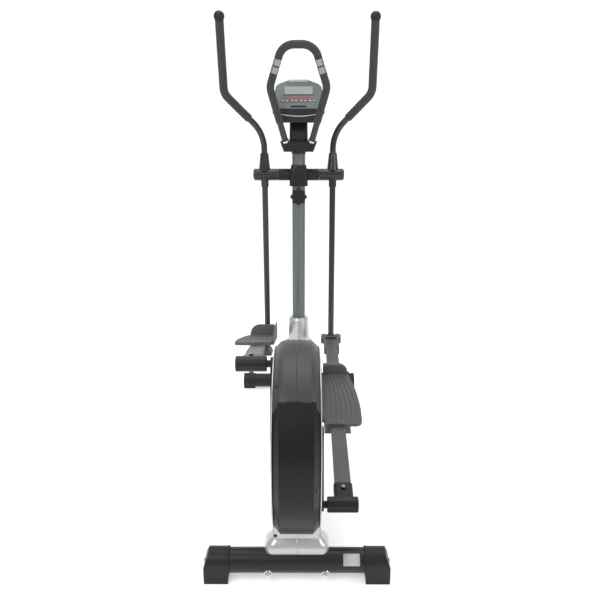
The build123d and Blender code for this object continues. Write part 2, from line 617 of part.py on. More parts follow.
for name, side in SIDES:
    arm = tilted(0, PIVOT_Y, PIVOT_Z, -side * ARM_REST)
    with BuildPart() as swing_arm:
        with BuildSketch(flank(arm, side * SLEEVE_IN)):
            Circle(PIVOT_R)
        extrude(amount=side * (SLEEVE_OUT + DOME - SLEEVE_IN))
        fillet(swing_arm.edges().sort_by(Axis.X)[-1 if side > 0 else 0], DOME - 1.0)
        with BuildSketch(arm.offset(SOCKET_LOW)):
            with Locations((side * ARM_X, 0)):
                Circle(24.0)
        with BuildSketch(arm.offset(SOCKET_TOP)):
            with Locations((side * ARM_X, 0)):
                Circle(16.5)
        loft()
        with BuildSketch(arm.offset(-COLLAR_Z)):
            with Locations((side * ARM_X, 0)):
                Circle(16.0)
        extrude(amount=COLLAR_Z)
        with BuildSketch(arm.offset(-LOWER_ARM)):
            with Locations((side * ARM_X, 0)):
                Circle(HANDLE_R)
        extrude(amount=LOWER_ARM)
        with BuildSketch(Plane(origin=arm.from_local_coords((side * ARM_X, 0, -LOWER_ARM)),
                               x_dir=arm.y_dir, z_dir=arm.x_dir)):
            Circle(TEE_R)
        extrude(amount=TEE_HALF, both=True)
        with BuildSketch(arm.offset(HANDLE_CORNERS[0][1])):
            with Locations((side * ARM_X, 0)):
                Circle(HANDLE_R)
        extrude(amount=SOCKET_TOP, mode=Mode.SUBTRACT)
        with BuildSketch(flank(arm, side * (SLEEVE_IN - 1))):
            Circle(SHAFT_R + FIT)
        extrude(amount=side * (SHAFT_HALF + 2 - SLEEVE_IN), mode=Mode.SUBTRACT)
        with BuildSketch(Plane(origin=arm.from_local_coords((side * ARM_X, 0, -LOWER_ARM)),
                               x_dir=arm.y_dir, z_dir=arm.x_dir)):
            Circle(TEE_PIN + FIT)
        extrude(amount=TEE_HALF + 2, both=True, mode=Mode.SUBTRACT)
    save(swing_arm.part, f"swing_arm_{name}")

    corners = handle_points(side, arm)
    with BuildPart() as handle:
        with BuildLine() as handle_line:
            FilletPolyline(*corners, radius=HANDLE_BENDS)
        with BuildSketch(start_plane(corners[0], corners[1])):
            Circle(HANDLE_R)
            Circle(HANDLE_R - 2.0, mode=Mode.SUBTRACT)
        sweep(path=handle_line.line)
    save(handle.part, f"handle_{name}")

    out, up, lean = GRIP_START
    grip_points = [arm.from_local_coords((side * (ARM_X + out), lean, up)), corners[2], corners[3]]
    with BuildPart() as grip:
        with BuildLine() as grip_line:
            FilletPolyline(*grip_points, radius=HANDLE_BENDS[1])
        with BuildSketch(start_plane(grip_points[0], grip_points[1])):
            Circle(FOAM_R)
            Circle(HANDLE_R + 0.2, mode=Mode.SUBTRACT)
        sweep(path=grip_line.line)
    save(grip.part, f"foam_grip_{name}")

    top = corners[3]
    with BuildPart() as grip_cap:
        with BuildSketch(Plane(origin=top, x_dir=(1, 0, 0), z_dir=(corners[3] - corners[2]))):
            Circle(FOAM_R + 1.0)
        extrude(amount=8.0)
        with Locations(top + (corners[3] - corners[2]).normalized() * 14.0):
            Sphere(BALL_R)
        with BuildSketch(Plane(origin=top, x_dir=(1, 0, 0), z_dir=(corners[2] - corners[3]))):
            Circle(BALL_R + 5)
        extrude(amount=20.0, mode=Mode.SUBTRACT)
    save(grip_cap.part, f"grip_cap_{name}")

# ---- Pedal bars, their pins and the pedals ------------------------------------------------
HOUSING_IN, HOUSING_OUT = 90.0, 183.0
NECK_IN = ARM_OUT + 0.5
CHEEK = 7.0  # thickness of a fork's cheek
CHEEK_BACK = 105.0
PLATE_BACK, PLATE_FRONT = 364.0, 706.0
PLATE_IN, PLATE_THICK, PLATE_TILT = 97.0, 12.0, -1.2
PLATE_UP = 24.0
PLATE_CORNER, PLATE_WIDE, PLATE_TOE = 203.0, 227.0, 194.0  # how far out its rear, middle and toe reach
GROOVES, GROOVE_HALF, GROOVE_DEEP = 6, 1.3, 2.0
GUARD_HIGH, GUARD_THICK = 42.0, 16.0
WALL_IN, WALL_THICK = 11.0, 4.0  # the inner wall stands this far inside the plate
DOT_X, DOT_BACK, DOT_R = 158.0, 14.0, 6.2  # a red plug's recess
SADDLE_IN, SADDLE_OUT, SADDLE_LOW, SADDLE_LONG = 94.0, 188.0, -26.0, 120.0
SADDLE_TOP = 14.0

for name, side in SIDES:
    pin_y, pin_z = pin_at(side)
    foot_y, foot_z = foot_at(side)
    slope = degrees(atan2(foot_z - pin_z, foot_y - pin_y))
    bar = tilted(0, pin_y, pin_z, slope)

    with BuildPart() as crank_bearing:
        with BuildSketch(flank(bar, side * HOUSING_IN)):
            Circle(HOUSING_R)
        extrude(amount=side * (HOUSING_OUT - HOUSING_IN))
        chamfer(crank_bearing.edges().filter_by(GeomType.CIRCLE), 2.0)
        with BuildSketch(flank(bar, side * NECK_IN)):
            Circle(PIN_R)
        extrude(amount=side * (HOUSING_IN - NECK_IN))
        with BuildSketch(behind(bar, 0)):
            with Locations((side * ARM_X, 0)):
                RectangleRounded(BAR_W + 8, BAR_H + 10, 8.0)
                Rectangle(BAR_W, BAR_H, mode=Mode.SUBTRACT)
        extrude(amount=-76.0)
        with BuildSketch(bar.offset(BAR_H / 2 + 4)):
            with Locations((side * ARM_X, 54.0)):
                Circle(7.0)
        extrude(amount=6.0)
    save(crank_bearing.part, f"crank_bearing_{name}")

    with BuildPart() as pedal_bar:
        with BuildSketch(behind(bar, HOUSING_R)):
            with Locations((side * ARM_X, 0)):
                Rectangle(BAR_W, BAR_H)
                Rectangle(BAR_W - 5, BAR_H - 5, mode=Mode.SUBTRACT)
        extrude(amount=-(BAR_LENGTH - HOUSING_R - TEE_R - 6.0))
        for edge in (-BAR_W / 2 - CHEEK, BAR_W / 2):
            with BuildSketch(flank(bar, side * ARM_X + edge)):
                with Locations((BAR_LENGTH - CHEEK_BACK / 2, 0)):
                    Rectangle(CHEEK_BACK, 34.0)
                with Locations((BAR_LENGTH, 0)):
                    Circle(TEE_R + 3.0)
            extrude(amount=CHEEK)
        foot_frame = tilted(side * ARM_X, foot_y, foot_z, slope)
        with BuildSketch(flank(foot_frame, 0)):
            Circle(TEE_PIN)
        extrude(amount=BAR_W / 2 + CHEEK, both=True)
        for edge in (-BAR_W / 2 - CHEEK - 11.0, BAR_W / 2 + CHEEK):
            with BuildSketch(flank(foot_frame, edge)):
                Circle(TEE_R)
            extrude(amount=11.0)
    save(pedal_bar.part, f"pedal_bar_{name}")

    tread_at = bar.from_local_coords((0, PLATE_BACK, PLATE_UP))
    tread = tilted(0, tread_at.Y, tread_at.Z, slope + PLATE_TILT)
    long = PLATE_FRONT - PLATE_BACK
    with BuildPart() as pedal:
        with BuildSketch(tread):
            with BuildLine():
                Line((side * PLATE_IN, 0), (side * PLATE_CORNER, 0))
                ThreePointArc((side * PLATE_CORNER, 0), (side * 219.0, 7.0), (side * 226.0, 26.0))
                Line((side * 226.0, 26.0), (side * PLATE_WIDE, 90.0))
                ThreePointArc((side * PLATE_WIDE, 90.0), (side * 218.0, 210.0), (side * PLATE_TOE, long))
                Line((side * PLATE_TOE, long), (side * PLATE_IN, long))
                Line((side * PLATE_IN, long), (side * PLATE_IN, 0))
            make_face()
        extrude(amount=-PLATE_THICK)
        with BuildSketch(behind(tread, long - 12.0)):
            with BuildLine():
                Polyline((side * PLATE_IN, -PLATE_THICK), (side * PLATE_IN, GUARD_HIGH),
                         (side * 160.0, GUARD_HIGH))
                ThreePointArc((side * 160.0, GUARD_HIGH), (side * 184.0, 30.0), (side * PLATE_TOE, 0))
                Polyline((side * PLATE_TOE, 0), (side * PLATE_TOE, -PLATE_THICK),
                         (side * PLATE_IN, -PLATE_THICK))
            make_face()
        extrude(amount=-GUARD_THICK)
        with BuildSketch(flank(tread, side * (PLATE_IN - WALL_IN))):
            with BuildLine():
                Polyline((24.0, -PLATE_THICK), (24.0, 14.0), (150.0, 44.0), (long, 52.0),
                         (long + 4, -PLATE_THICK), close=True)
            make_face()
        extrude(amount=side * WALL_THICK)
        with BuildSketch(flank(tread, side * (PLATE_IN - 8.0))):
            with BuildLine():
                Polyline((24.0, -PLATE_THICK), (24.0, 0), (long, 0), (long, -PLATE_THICK), close=True)
            make_face()
        extrude(amount=side * 9.0)
        for row in range(GROOVES):
            share = (row + 0.7) / GROOVES
            x_back, x_mid, x_front = 104 + 110 * share, 104 + 100 * share, 104 + 74 * share
            with BuildSketch(tread):
                with BuildLine():
                    ThreePointArc((side * x_back, 40.0), (side * (x_mid + 6), 160.0),
                                  (side * x_front, long - 30.0))
                    offset(amount=GROOVE_HALF, side=Side.BOTH)
                make_face()
            extrude(amount=-GROOVE_DEEP, mode=Mode.SUBTRACT)
        with BuildSketch(behind(bar, PLATE_BACK + 10.0)):
            with BuildLine():
                Polyline((side * SADDLE_IN, SADDLE_LOW), (side * SADDLE_OUT, SADDLE_LOW),
                         (side * SADDLE_OUT, SADDLE_LOW + 6.0))
                ThreePointArc((side * SADDLE_OUT, SADDLE_LOW + 6.0), (side * ARM_X, SADDLE_TOP),
                              (side * SADDLE_IN, SADDLE_LOW + 6.0))
                Line((side * SADDLE_IN, SADDLE_LOW + 6.0), (side * SADDLE_IN, SADDLE_LOW))
            make_face()
        extrude(amount=-SADDLE_LONG)
        with BuildSketch(behind(bar, PLATE_BACK)):
            with Locations((side * ARM_X, 0)):
                Rectangle(BAR_W, BAR_H)
        extrude(amount=-long - 20.0, mode=Mode.SUBTRACT)
        with BuildSketch(tread):
            with Locations((side * DOT_X, DOT_BACK)):
                Circle(DOT_R)
        extrude(amount=-3.0, mode=Mode.SUBTRACT)
    save(pedal.part, f"pedal_{name}")

# ---- Fixed handlebar, its clamp, foam and pulse sensors -----------------------------------
CLAMP_LOW, CLAMP_TOP, CLAMP_HALF = 1154.0, 1194.0, 75.0
LOOP_Y, LOOP_Z = PIVOT_Y - 42.0, CLAMP_TOP - 12.0
LOOP_CORNERS = ((50.0, 0.0), (109.0, 240.0), (58.0, 402.0))  # right half: across, up its own plane
LOOP_BENDS = (70.0, 60.0)
LOOP_R, LOOP_FOAM_R, SENSOR_R = 12.5, 14.5, 15.0
SENSOR_LOW, SENSOR_TOP, SENSOR_GAP = 298.0, 352.0, 5.0
FOAM_LOW = 96.0
loop = tilted(0, LOOP_Y, LOOP_Z, LOOP_LEAN)
(foot_x, _), (wide_x, wide_up), (arch_x, arch_up) = LOOP_CORNERS


def on_loop(across, up):
    """A point in the plane of the fixed handlebar."""
    return loop.from_local_coords((across, 0, up))


def lower_run(up):
    """How far out the handlebar's lower run stands at a height."""
    return foot_x + (wide_x - foot_x) * up / wide_up


def upper_run(up):
    """How far out the handlebar's upper run stands at a height."""
    return wide_x + (arch_x - wide_x) * (up - wide_up) / (arch_up - wide_up)


def ring_along(points, bends, outer, inner):
    """A tube swept along straight runs joined by arcs."""
    with BuildPart() as tube:
        with BuildLine() as line:
            if bends:
                FilletPolyline(*points, radius=bends)
            else:
                Line(*points)
        with BuildSketch(start_plane(points[0], points[1])):
            Circle(outer)
            Circle(inner, mode=Mode.SUBTRACT)
        sweep(path=line.line)
    return tube.part


loop_right = [on_loop(x, up) for x, up in LOOP_CORNERS]
loop_left = [on_loop(-x, up) for x, up in LOOP_CORNERS]
loop_bends = (LOOP_BENDS[0], LOOP_BENDS[1], LOOP_BENDS[1], LOOP_BENDS[0])
save(ring_along(loop_right + loop_left[::-1], loop_bends, LOOP_R, LOOP_R - 2.0), "fixed_handlebar")

with BuildPart() as handlebar_foam:
    arch = [on_loop(upper_run(SENSOR_TOP), SENSOR_TOP), loop_right[2], loop_left[2],
            on_loop(-upper_run(SENSOR_TOP), SENSOR_TOP)]
    add(ring_along(arch, LOOP_BENDS[1], LOOP_FOAM_R, LOOP_R + 0.2))
    for side in (-1, 1):
        low = [on_loop(side * lower_run(FOAM_LOW), FOAM_LOW), on_loop(side * wide_x, wide_up),
               on_loop(side * upper_run(SENSOR_LOW), SENSOR_LOW)]
        add(ring_along(low, LOOP_BENDS[0], LOOP_FOAM_R, LOOP_R + 0.2))
save(handlebar_foam.part, "handlebar_foam")

with BuildPart() as pulse_sensors:
    middle = (SENSOR_LOW + SENSOR_TOP) / 2
    for side in (-1, 1):
        for low, high in ((SENSOR_LOW, middle - SENSOR_GAP / 2), (middle + SENSOR_GAP / 2, SENSOR_TOP)):
            ends = [on_loop(side * upper_run(up), up) for up in (low + 0.3, high - 0.3)]
            add(ring_along(ends, None, SENSOR_R, LOOP_R))
save(pulse_sensors.part, "pulse_sensors")

with BuildPart() as handlebar_clamp:
    with BuildSketch(Plane.XY.offset(CLAMP_LOW)):
        with Locations((0, PIVOT_Y - 16.0)):
            RectangleRounded(2 * CLAMP_HALF - 30, 88.0, 10.0)
    with BuildSketch(Plane.XY.offset(CLAMP_TOP)):
        with Locations((0, PIVOT_Y - 16.0)):
            RectangleRounded(2 * CLAMP_HALF, 92.0, 12.0)
    loft()
    with BuildSketch(Plane.XY.offset(CLAMP_LOW)):
        with Locations((0, PIVOT_Y)):
            Circle(MAST_R)
    extrude(amount=CLAMP_TOP - CLAMP_LOW, mode=Mode.SUBTRACT)
    for end, corner in ((loop_right[0], loop_right[1]), (loop_left[0], loop_left[1])):
        with BuildSketch(start_plane(end, corner)):
            Circle(LOOP_R)
        extrude(amount=60.0, mode=Mode.SUBTRACT)
save(handlebar_clamp.part, "handlebar_clamp")

# ---- Console ------------------------------------------------------------------------------
CONSOLE_Y, CONSOLE_Z = PIVOT_Y - 37.0, 1347.5
console = tilted(0, CONSOLE_Y, CONSOLE_Z, CONSOLE_LEAN)
FACE_LOW, FACE_TOP = -30.0, 84.0  # the grey face plate, from the console's middle
PANEL_LOW = -84.0
DEEP = 46.0
OUTLINE = ((-60.0, PANEL_LOW), (-104.0, -46.0), (-101.0, 0.0), (-90.0, 60.0), (-80.0, 70.0),
           (-44.0, FACE_TOP))  # its left edge: across, up
FACE_THICK, LCD_W, LCD_H, LCD_UP = 5.0, 112.0, 32.0, 44.0
KEY_W, KEY_H, KEY_PITCH, KEY_UP = 30.0, 9.0, 36.0, 2.0
KEY_GAP, KEY_PROUD = 0.5, 1.6
SLOT_W, SLOT_H, SLOT_UP = 60.0, 5.0, -20.0
NECK_W, NECK_DEEP = 74.0, 62.0  # the console's neck where it leaves the clamp


def mirrored_outline(low, high, inset):
    """The console's outline between two heights, drawn smaller by an inset."""
    left = [(edge_x(low) + inset, low)]
    left += [(x + inset, z) for x, z in OUTLINE if low < z < high]
    left += [(edge_x(high) + inset, high)]
    return left + [(-x, z) for x, z in reversed(left)]


def edge_x(z):
    """X of the console's left edge at a height."""
    for (x0, z0), (x1, z1) in zip(OUTLINE, OUTLINE[1:]):
        if z0 <= z <= z1:
            return x0 + (x1 - x0) * (z - z0) / (z1 - z0)
    return OUTLINE[-1][0]


with BuildPart() as console_back:
    with BuildSketch(behind(console, 0)):
        with BuildLine():
            Polyline(*mirrored_outline(PANEL_LOW, FACE_TOP, 0.0), close=True)
        make_face()
    extrude(amount=-DEEP, taper=18)
    with BuildSketch(behind(console, 0)):
        with BuildLine():
            Polyline(*mirrored_outline(PANEL_LOW + 5, FACE_TOP - 5, 5.0), close=True)
        make_face()
    extrude(amount=-DEEP + 8, taper=18, mode=Mode.SUBTRACT)
save(console_back.part, "console_back")

facing = Axis(console.origin, console.y_dir)
KEY_X = [(key - (BUTTONS - 1) / 2) * KEY_PITCH for key in range(BUTTONS)]
with BuildPart() as console_face:
    with BuildSketch(behind(console, 0)):
        with BuildLine():
            Polyline(*mirrored_outline(FACE_LOW, FACE_TOP, 2.0), close=True)
        make_face()
    extrude(amount=FACE_THICK)
    chamfer(console_face.faces().sort_by(facing)[0].outer_wire().edges(), 2.0)
    with BuildSketch(behind(console, 0)):
        with Locations((0, LCD_UP)):
            RectangleRounded(LCD_W, LCD_H, 3.0)
        with Locations(*[(x, KEY_UP) for x in KEY_X]):
            Rectangle(KEY_W + 2 * KEY_GAP, KEY_H + 2 * KEY_GAP)
        with Locations((0, SLOT_UP)):
            Rectangle(SLOT_W, SLOT_H)
    extrude(amount=2 * FACE_THICK, mode=Mode.SUBTRACT)
save(console_face.part, "console_face")

with BuildPart() as lcd_lens:
    with BuildSketch(behind(console, -0.5)):
        with Locations((0, LCD_UP)):
            RectangleRounded(LCD_W - 0.4, LCD_H - 0.4, 3.0)
    extrude(amount=FACE_THICK - 1.5)
save(lcd_lens.part, "lcd_lens")

for number, x in enumerate(KEY_X, start=1):
    with BuildPart() as key:
        with BuildSketch(behind(console, 0)):
            with Locations((x, KEY_UP)):
                RectangleRounded(KEY_W, KEY_H, 1.5)
        extrude(amount=FACE_THICK + KEY_PROUD)
        fillet(key.faces().sort_by(facing)[0].edges(), 0.6)
    save(key.part, f"console_key_{number}")

with BuildPart() as console_panel:
    with BuildSketch(behind(console, 0)):
        with BuildLine():
            Polyline(*mirrored_outline(PANEL_LOW, FACE_LOW - 1.0, 2.5), close=True)
        make_face()
    extrude(amount=FACE_THICK)
    with BuildSketch(behind(console, FACE_THICK)):
        with BuildLine():
            ThreePointArc((-66.0, -44.0), (0.0, -50.0), (66.0, -44.0))
            ThreePointArc((66.0, -44.0), (0.0, -54.0), (-66.0, -44.0))
        make_face()
    extrude(amount=3.0)
save(console_panel.part, "console_panel")

with BuildPart() as console_bracket:
    with BuildSketch(Plane.XY.offset(CLAMP_TOP)):
        with Locations((0, PIVOT_Y - 2.0)):
            RectangleRounded(NECK_W, NECK_DEEP, 14.0)
        with Locations((0, PIVOT_Y)):
            Circle(MAST_R, mode=Mode.SUBTRACT)
    extrude(amount=POST_TOP - CLAMP_TOP + 0.5)
    with BuildSketch(Plane.XY.offset(POST_TOP + 0.5)):
        with Locations((0, PIVOT_Y - 2.0)):
            RectangleRounded(NECK_W, NECK_DEEP, 14.0)
    with BuildSketch(Plane.XY.offset(CONSOLE_Z + 10)):
        with Locations((0, PIVOT_Y + 38.0)):
            RectangleRounded(70.0, 26.0, 8.0)
    loft()
    with BuildSketch(behind(console, 0)):
        Rectangle(400.0, 400.0)
    extrude(amount=-DEEP, mode=Mode.SUBTRACT)
    with BuildSketch(behind(console, 0)):
        Rectangle(400.0, 400.0)
    extrude(amount=200.0, mode=Mode.SUBTRACT)
bracket_main = console_bracket.part.solids().sort_by(SortBy.VOLUME)[-1]
save(bracket_main, "console_bracket")
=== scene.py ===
import json
import math

import bmesh
import bpy
from mathutils import Matrix, Vector


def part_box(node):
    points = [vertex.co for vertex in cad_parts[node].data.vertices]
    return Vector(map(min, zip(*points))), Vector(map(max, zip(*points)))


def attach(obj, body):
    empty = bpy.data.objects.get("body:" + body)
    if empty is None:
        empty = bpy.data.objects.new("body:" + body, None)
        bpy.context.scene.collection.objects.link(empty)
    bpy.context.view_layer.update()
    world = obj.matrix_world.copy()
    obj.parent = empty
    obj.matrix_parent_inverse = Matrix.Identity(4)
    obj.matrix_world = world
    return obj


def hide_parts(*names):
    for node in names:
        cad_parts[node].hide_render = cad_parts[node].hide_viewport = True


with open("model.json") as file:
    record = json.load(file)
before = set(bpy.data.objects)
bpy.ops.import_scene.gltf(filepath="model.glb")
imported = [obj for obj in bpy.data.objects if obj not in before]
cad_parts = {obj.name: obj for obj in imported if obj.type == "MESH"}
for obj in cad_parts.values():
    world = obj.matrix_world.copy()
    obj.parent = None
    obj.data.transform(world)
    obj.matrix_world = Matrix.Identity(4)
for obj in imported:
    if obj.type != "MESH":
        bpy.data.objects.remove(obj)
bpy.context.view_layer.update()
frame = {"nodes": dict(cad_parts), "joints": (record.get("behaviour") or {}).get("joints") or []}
nodes = frame["nodes"]
joints = {j["name"]: j for j in frame["joints"]}
LEFT, RIGHT = -1, 1
SIDES = (("left", LEFT), ("right", RIGHT))


# ---- Small helpers --------------------------------------------------------------------------
def middle(node):
    """The centre of a CAD node's box."""
    low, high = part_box(node)
    return (Vector(low) + Vector(high)) / 2


def joint_at(name):
    """Where a joint's axis passes, in metres."""
    return Vector(joints[name]["pos_m"])


def link(name, mesh, *materials):
    """An object for a finished mesh, with its materials in their slots."""
    piece = bpy.data.objects.new(name, mesh)
    bpy.context.scene.collection.objects.link(piece)
    for material in materials:
        mesh.materials.append(material)
    return piece


def from_bmesh(name, bm, *materials, smooth=True):
    """A piece from a bmesh, its doubles merged and its faces turned outward."""
    bmesh.ops.remove_doubles(bm, verts=bm.verts, dist=1e-6)
    bmesh.ops.recalc_face_normals(bm, faces=bm.faces)
    mesh = bpy.data.meshes.new(name)
    bm.to_mesh(mesh)
    bm.free()
    mesh.polygons.foreach_set("use_smooth", [smooth] * len(mesh.polygons))
    return link(name, mesh, *materials)


def bake(piece):
    """Applies a piece's modifiers, so its mesh holds the finished shape."""
    graph = bpy.context.evaluated_depsgraph_get()
    graph.update()
    mesh = bpy.data.meshes.new_from_object(piece.evaluated_get(graph), depsgraph=graph)
    old = piece.data
    piece.modifiers.clear()
    piece.data = mesh
    mesh.name = old.name + "_finished"
    return piece


def soften(piece, width, segments=2, angle=35):
    """Rounds a piece's sharp edges and bakes them in."""
    bevel = piece.modifiers.new("round", "BEVEL")
    bevel.width = width
    bevel.segments = segments
    bevel.limit_method = "ANGLE"
    bevel.angle_limit = math.radians(angle)
    bevel.harden_normals = False
    return bake(piece)


def seat(piece, body, slot, *replaced):
    """Says what a piece rides on and hides the CAD nodes it stands for; the slot argument is not used."""
    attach(piece, body)
    if replaced:
        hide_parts(*replaced)
    return piece


# ---- Effects that several materials share ---------------------------------------------------
def effect(name, inputs, outputs):
    """An empty shader group with named sockets."""
    group = bpy.data.node_groups.new(name, "ShaderNodeTree")
    for socket, kind, value in inputs:
        made = group.interface.new_socket(socket, in_out="INPUT", socket_type=kind)
        made.default_value = value
    for socket, kind in outputs:
        group.interface.new_socket(socket, in_out="OUTPUT", socket_type=kind)
    return group, group.nodes.new("NodeGroupInput"), group.nodes.new("NodeGroupOutput")


def add_noise(tree, coordinate, scale, detail=3.0, roughness=0.55):
    """A noise texture read at a coordinate; scale is a number or a socket."""
    noise = tree.nodes.new("ShaderNodeTexNoise")
    noise.inputs["Detail"].default_value = detail
    noise.inputs["Roughness"].default_value = roughness
    tree.links.new(coordinate, noise.inputs["Vector"])
    if isinstance(scale, (int, float)):
        noise.inputs["Scale"].default_value = scale
    else:
        tree.links.new(scale, noise.inputs["Scale"])
    return noise


def add_math(tree, operation, first, second, clamp=False):
    """A math node; either operand is a number or a socket."""
    node = tree.nodes.new("ShaderNodeMath")
    node.operation = operation
    node.use_clamp = clamp
    for socket, value in zip(node.inputs, (first, second)):
        if isinstance(value, (int, float)):
            socket.default_value = value
        else:
            tree.links.new(value, socket)
    return node.outputs["Value"]


MIX_FIRST, MIX_SECOND, MIX_RESULT = 6, 7, 2     # a Mix node's sockets for colours


def add_mix(tree, factor, first, second):
    """A colour mix; each input is a value or a socket."""
    node = tree.nodes.new("ShaderNodeMix")
    node.data_type = "RGBA"
    for key, value in (("Factor", factor), (MIX_FIRST, first), (MIX_SECOND, second)):
        if hasattr(value, "is_output"):
            tree.links.new(value, node.inputs[key])
        else:
            node.inputs[key].default_value = value
    return node.outputs[MIX_RESULT]


SPECK_SCALE, SPECK_LEVEL, DUST_COLOUR = 420.0, 0.66, (0.6, 0.59, 0.57, 1)
PORE_LEVEL, DENT_SCALE = 0.22, 60.0


def make_tone():
    """Slow drifts of colour and gloss over a surface, with a thin dust of lighter specks."""
    group, inside, out = effect(
        "surface_tone",
        [("Base", "NodeSocketColor", (0.5, 0.5, 0.5, 1)), ("Drift", "NodeSocketFloat", 0.08),
         ("Scale", "NodeSocketFloat", 9.0), ("Dust", "NodeSocketFloat", 0.03),
         ("Rough", "NodeSocketFloat", 0.4), ("Rough Drift", "NodeSocketFloat", 0.12)],
        [("Color", "NodeSocketColor"), ("Roughness", "NodeSocketFloat")])
    place = group.nodes.new("ShaderNodeTexCoord").outputs["Object"]
    slow = add_noise(group, place, inside.outputs["Scale"]).outputs["Fac"]
    fine = add_noise(group, place, SPECK_SCALE, detail=2.0).outputs["Fac"]
    drift = add_math(group, "SUBTRACT", slow, 0.5)
    shift = add_math(group, "MULTIPLY", drift, inside.outputs["Drift"])
    tint = group.nodes.new("ShaderNodeHueSaturation")
    value = add_math(group, "ADD", add_math(group, "MULTIPLY", shift, 2.0), 1.0)
    group.links.new(value, tint.inputs["Value"])
    group.links.new(inside.outputs["Base"], tint.inputs["Color"])
    specks = add_math(group, "GREATER_THAN", fine, SPECK_LEVEL)
    dust = add_math(group, "MULTIPLY", specks, inside.outputs["Dust"])
    dusty = add_mix(group, dust, tint.outputs["Color"], DUST_COLOUR)
    group.links.new(dusty, out.inputs["Color"])
    swing = add_math(group, "MULTIPLY", drift, inside.outputs["Rough Drift"])
    rough = add_math(group, "ADD", add_math(group, "MULTIPLY", swing, 2.0),
                     inside.outputs["Rough"], clamp=True)
    group.links.new(rough, out.inputs["Roughness"])
    return group


def make_grain():
    """The moulded grain of plastic or the orange peel of paint, as a height."""
    group, inside, out = effect(
        "moulded_grain",
        [("Scale", "NodeSocketFloat", 900.0), ("Cells", "NodeSocketFloat", 0.5)],
        [("Height", "NodeSocketFloat")])
    place = group.nodes.new("ShaderNodeTexCoord").outputs["Object"]
    cells = group.nodes.new("ShaderNodeTexVoronoi")
    group.links.new(place, cells.inputs["Vector"])
    group.links.new(inside.outputs["Scale"], cells.inputs["Scale"])
    soft = add_noise(group, place, inside.outputs["Scale"], detail=2.0).outputs["Fac"]
    mixed = add_math(group, "MULTIPLY", cells.outputs["Distance"], inside.outputs["Cells"])
    group.links.new(add_math(group, "ADD", mixed, soft), out.inputs["Height"])
    return group


def make_brushed():
    """Fine scratches along one axis, as a height."""
    group, inside, out = effect(
        "brushed_lines",
        [("Along", "NodeSocketVector", (1.0, 1.0, 1.0)), ("Scale", "NodeSocketFloat", 300.0)],
        [("Height", "NodeSocketFloat")])
    place = group.nodes.new("ShaderNodeTexCoord").outputs["Object"]
    stretch = group.nodes.new("ShaderNodeVectorMath")
    stretch.operation = "MULTIPLY"
    group.links.new(place, stretch.inputs[0])
    group.links.new(inside.outputs["Along"], stretch.inputs[1])
    lines = add_noise(group, stretch.outputs["Vector"], inside.outputs["Scale"], detail=4.0)
    group.links.new(lines.outputs["Fac"], out.inputs["Height"])
    return group


def make_foam_cells():
    """Closed-cell foam: pores, soft dents where hands have pressed it, and a mask of the pore hollows for
    painted shade.
    """
    group, inside, out = effect(
        "foam_cells",
        [("Scale", "NodeSocketFloat", 1500.0), ("Dents", "NodeSocketFloat", 0.5)],
        [("Height", "NodeSocketFloat"), ("Pore Shade", "NodeSocketFloat")])
    place = group.nodes.new("ShaderNodeTexCoord").outputs["Object"]
    pores = group.nodes.new("ShaderNodeTexVoronoi")
    group.links.new(place, pores.inputs["Vector"])
    group.links.new(inside.outputs["Scale"], pores.inputs["Scale"])
    dents = add_noise(group, place, DENT_SCALE, detail=1.0).outputs["Fac"]
    group.links.new(add_math(group, "ADD", pores.outputs["Distance"],
                             add_math(group, "MULTIPLY", dents, inside.outputs["Dents"])),
                    out.inputs["Height"])
    # painted shade: the deepest pore hollows are marked so the foam's colour can be darkened there
    pore_shade_mask = add_math(group, "LESS_THAN", pores.outputs["Distance"], PORE_LEVEL)
    group.links.new(pore_shade_mask, out.inputs["Pore Shade"])
    return group


tone, grain, brushed, foam_cells = make_tone(), make_grain(), make_brushed(), make_foam_cells()


# ---- Materials ------------------------------------------------------------------------------
def put_group(tree, group, **values):
    """A group node with its own values; spaces in socket names are written as underscores."""
    node = tree.nodes.new("ShaderNodeGroup")
    node.node_tree = group
    for key, value in values.items():
        node.inputs[key.replace("_", " ")].default_value = value
    return node


def put_bump(tree, shader, height, strength, distance):
    """Feeds a height to the shader's normal."""
    bump = tree.nodes.new("ShaderNodeBump")
    bump.inputs["Strength"].default_value = strength
    bump.inputs["Distance"].default_value = distance
    tree.links.new(height, bump.inputs["Height"])
    tree.links.new(bump.outputs["Normal"], shader.inputs["Normal"])


def toned(name, colour, rough, drift, scale, dust, rough_drift):
    """A material whose colour and gloss drift over its surface, with its tree, shader and look."""
    material = bpy.data.materials.new(name)
    material.use_nodes = True
    tree = material.node_tree
    shader = tree.nodes["Principled BSDF"]
    look = put_group(tree, tone, Base=(*colour, 1), Drift=drift, Scale=scale, Dust=dust, Rough=rough,
                     Rough_Drift=rough_drift)
    tree.links.new(look.outputs["Color"], shader.inputs["Base Color"])
    tree.links.new(look.outputs["Roughness"], shader.inputs["Roughness"])
    return material, tree, shader, look


def finish_of(name, colour, rough, metallic=0.0, coat=0.0, sheen=0.0, drift=0.08, scale=9.0, dust=0.02,
              rough_drift=0.1, grain_scale=900.0, cells=0.5, bump=0.15, depth=0.0004, specular=0.5):
    """Paint or moulded plastic with a fine grain."""
    material, tree, shader, _ = toned(name, colour, rough, drift, scale, dust, rough_drift)
    shader.inputs["Metallic"].default_value = metallic
    shader.inputs["Coat Weight"].default_value = coat
    shader.inputs["Coat Roughness"].default_value = 0.15
    shader.inputs["Sheen Weight"].default_value = sheen
    shader.inputs["Specular IOR Level"].default_value = specular
    texture = put_group(tree, grain, Scale=grain_scale, Cells=cells)
    put_bump(tree, shader, texture.outputs["Height"], bump, depth)
    return material


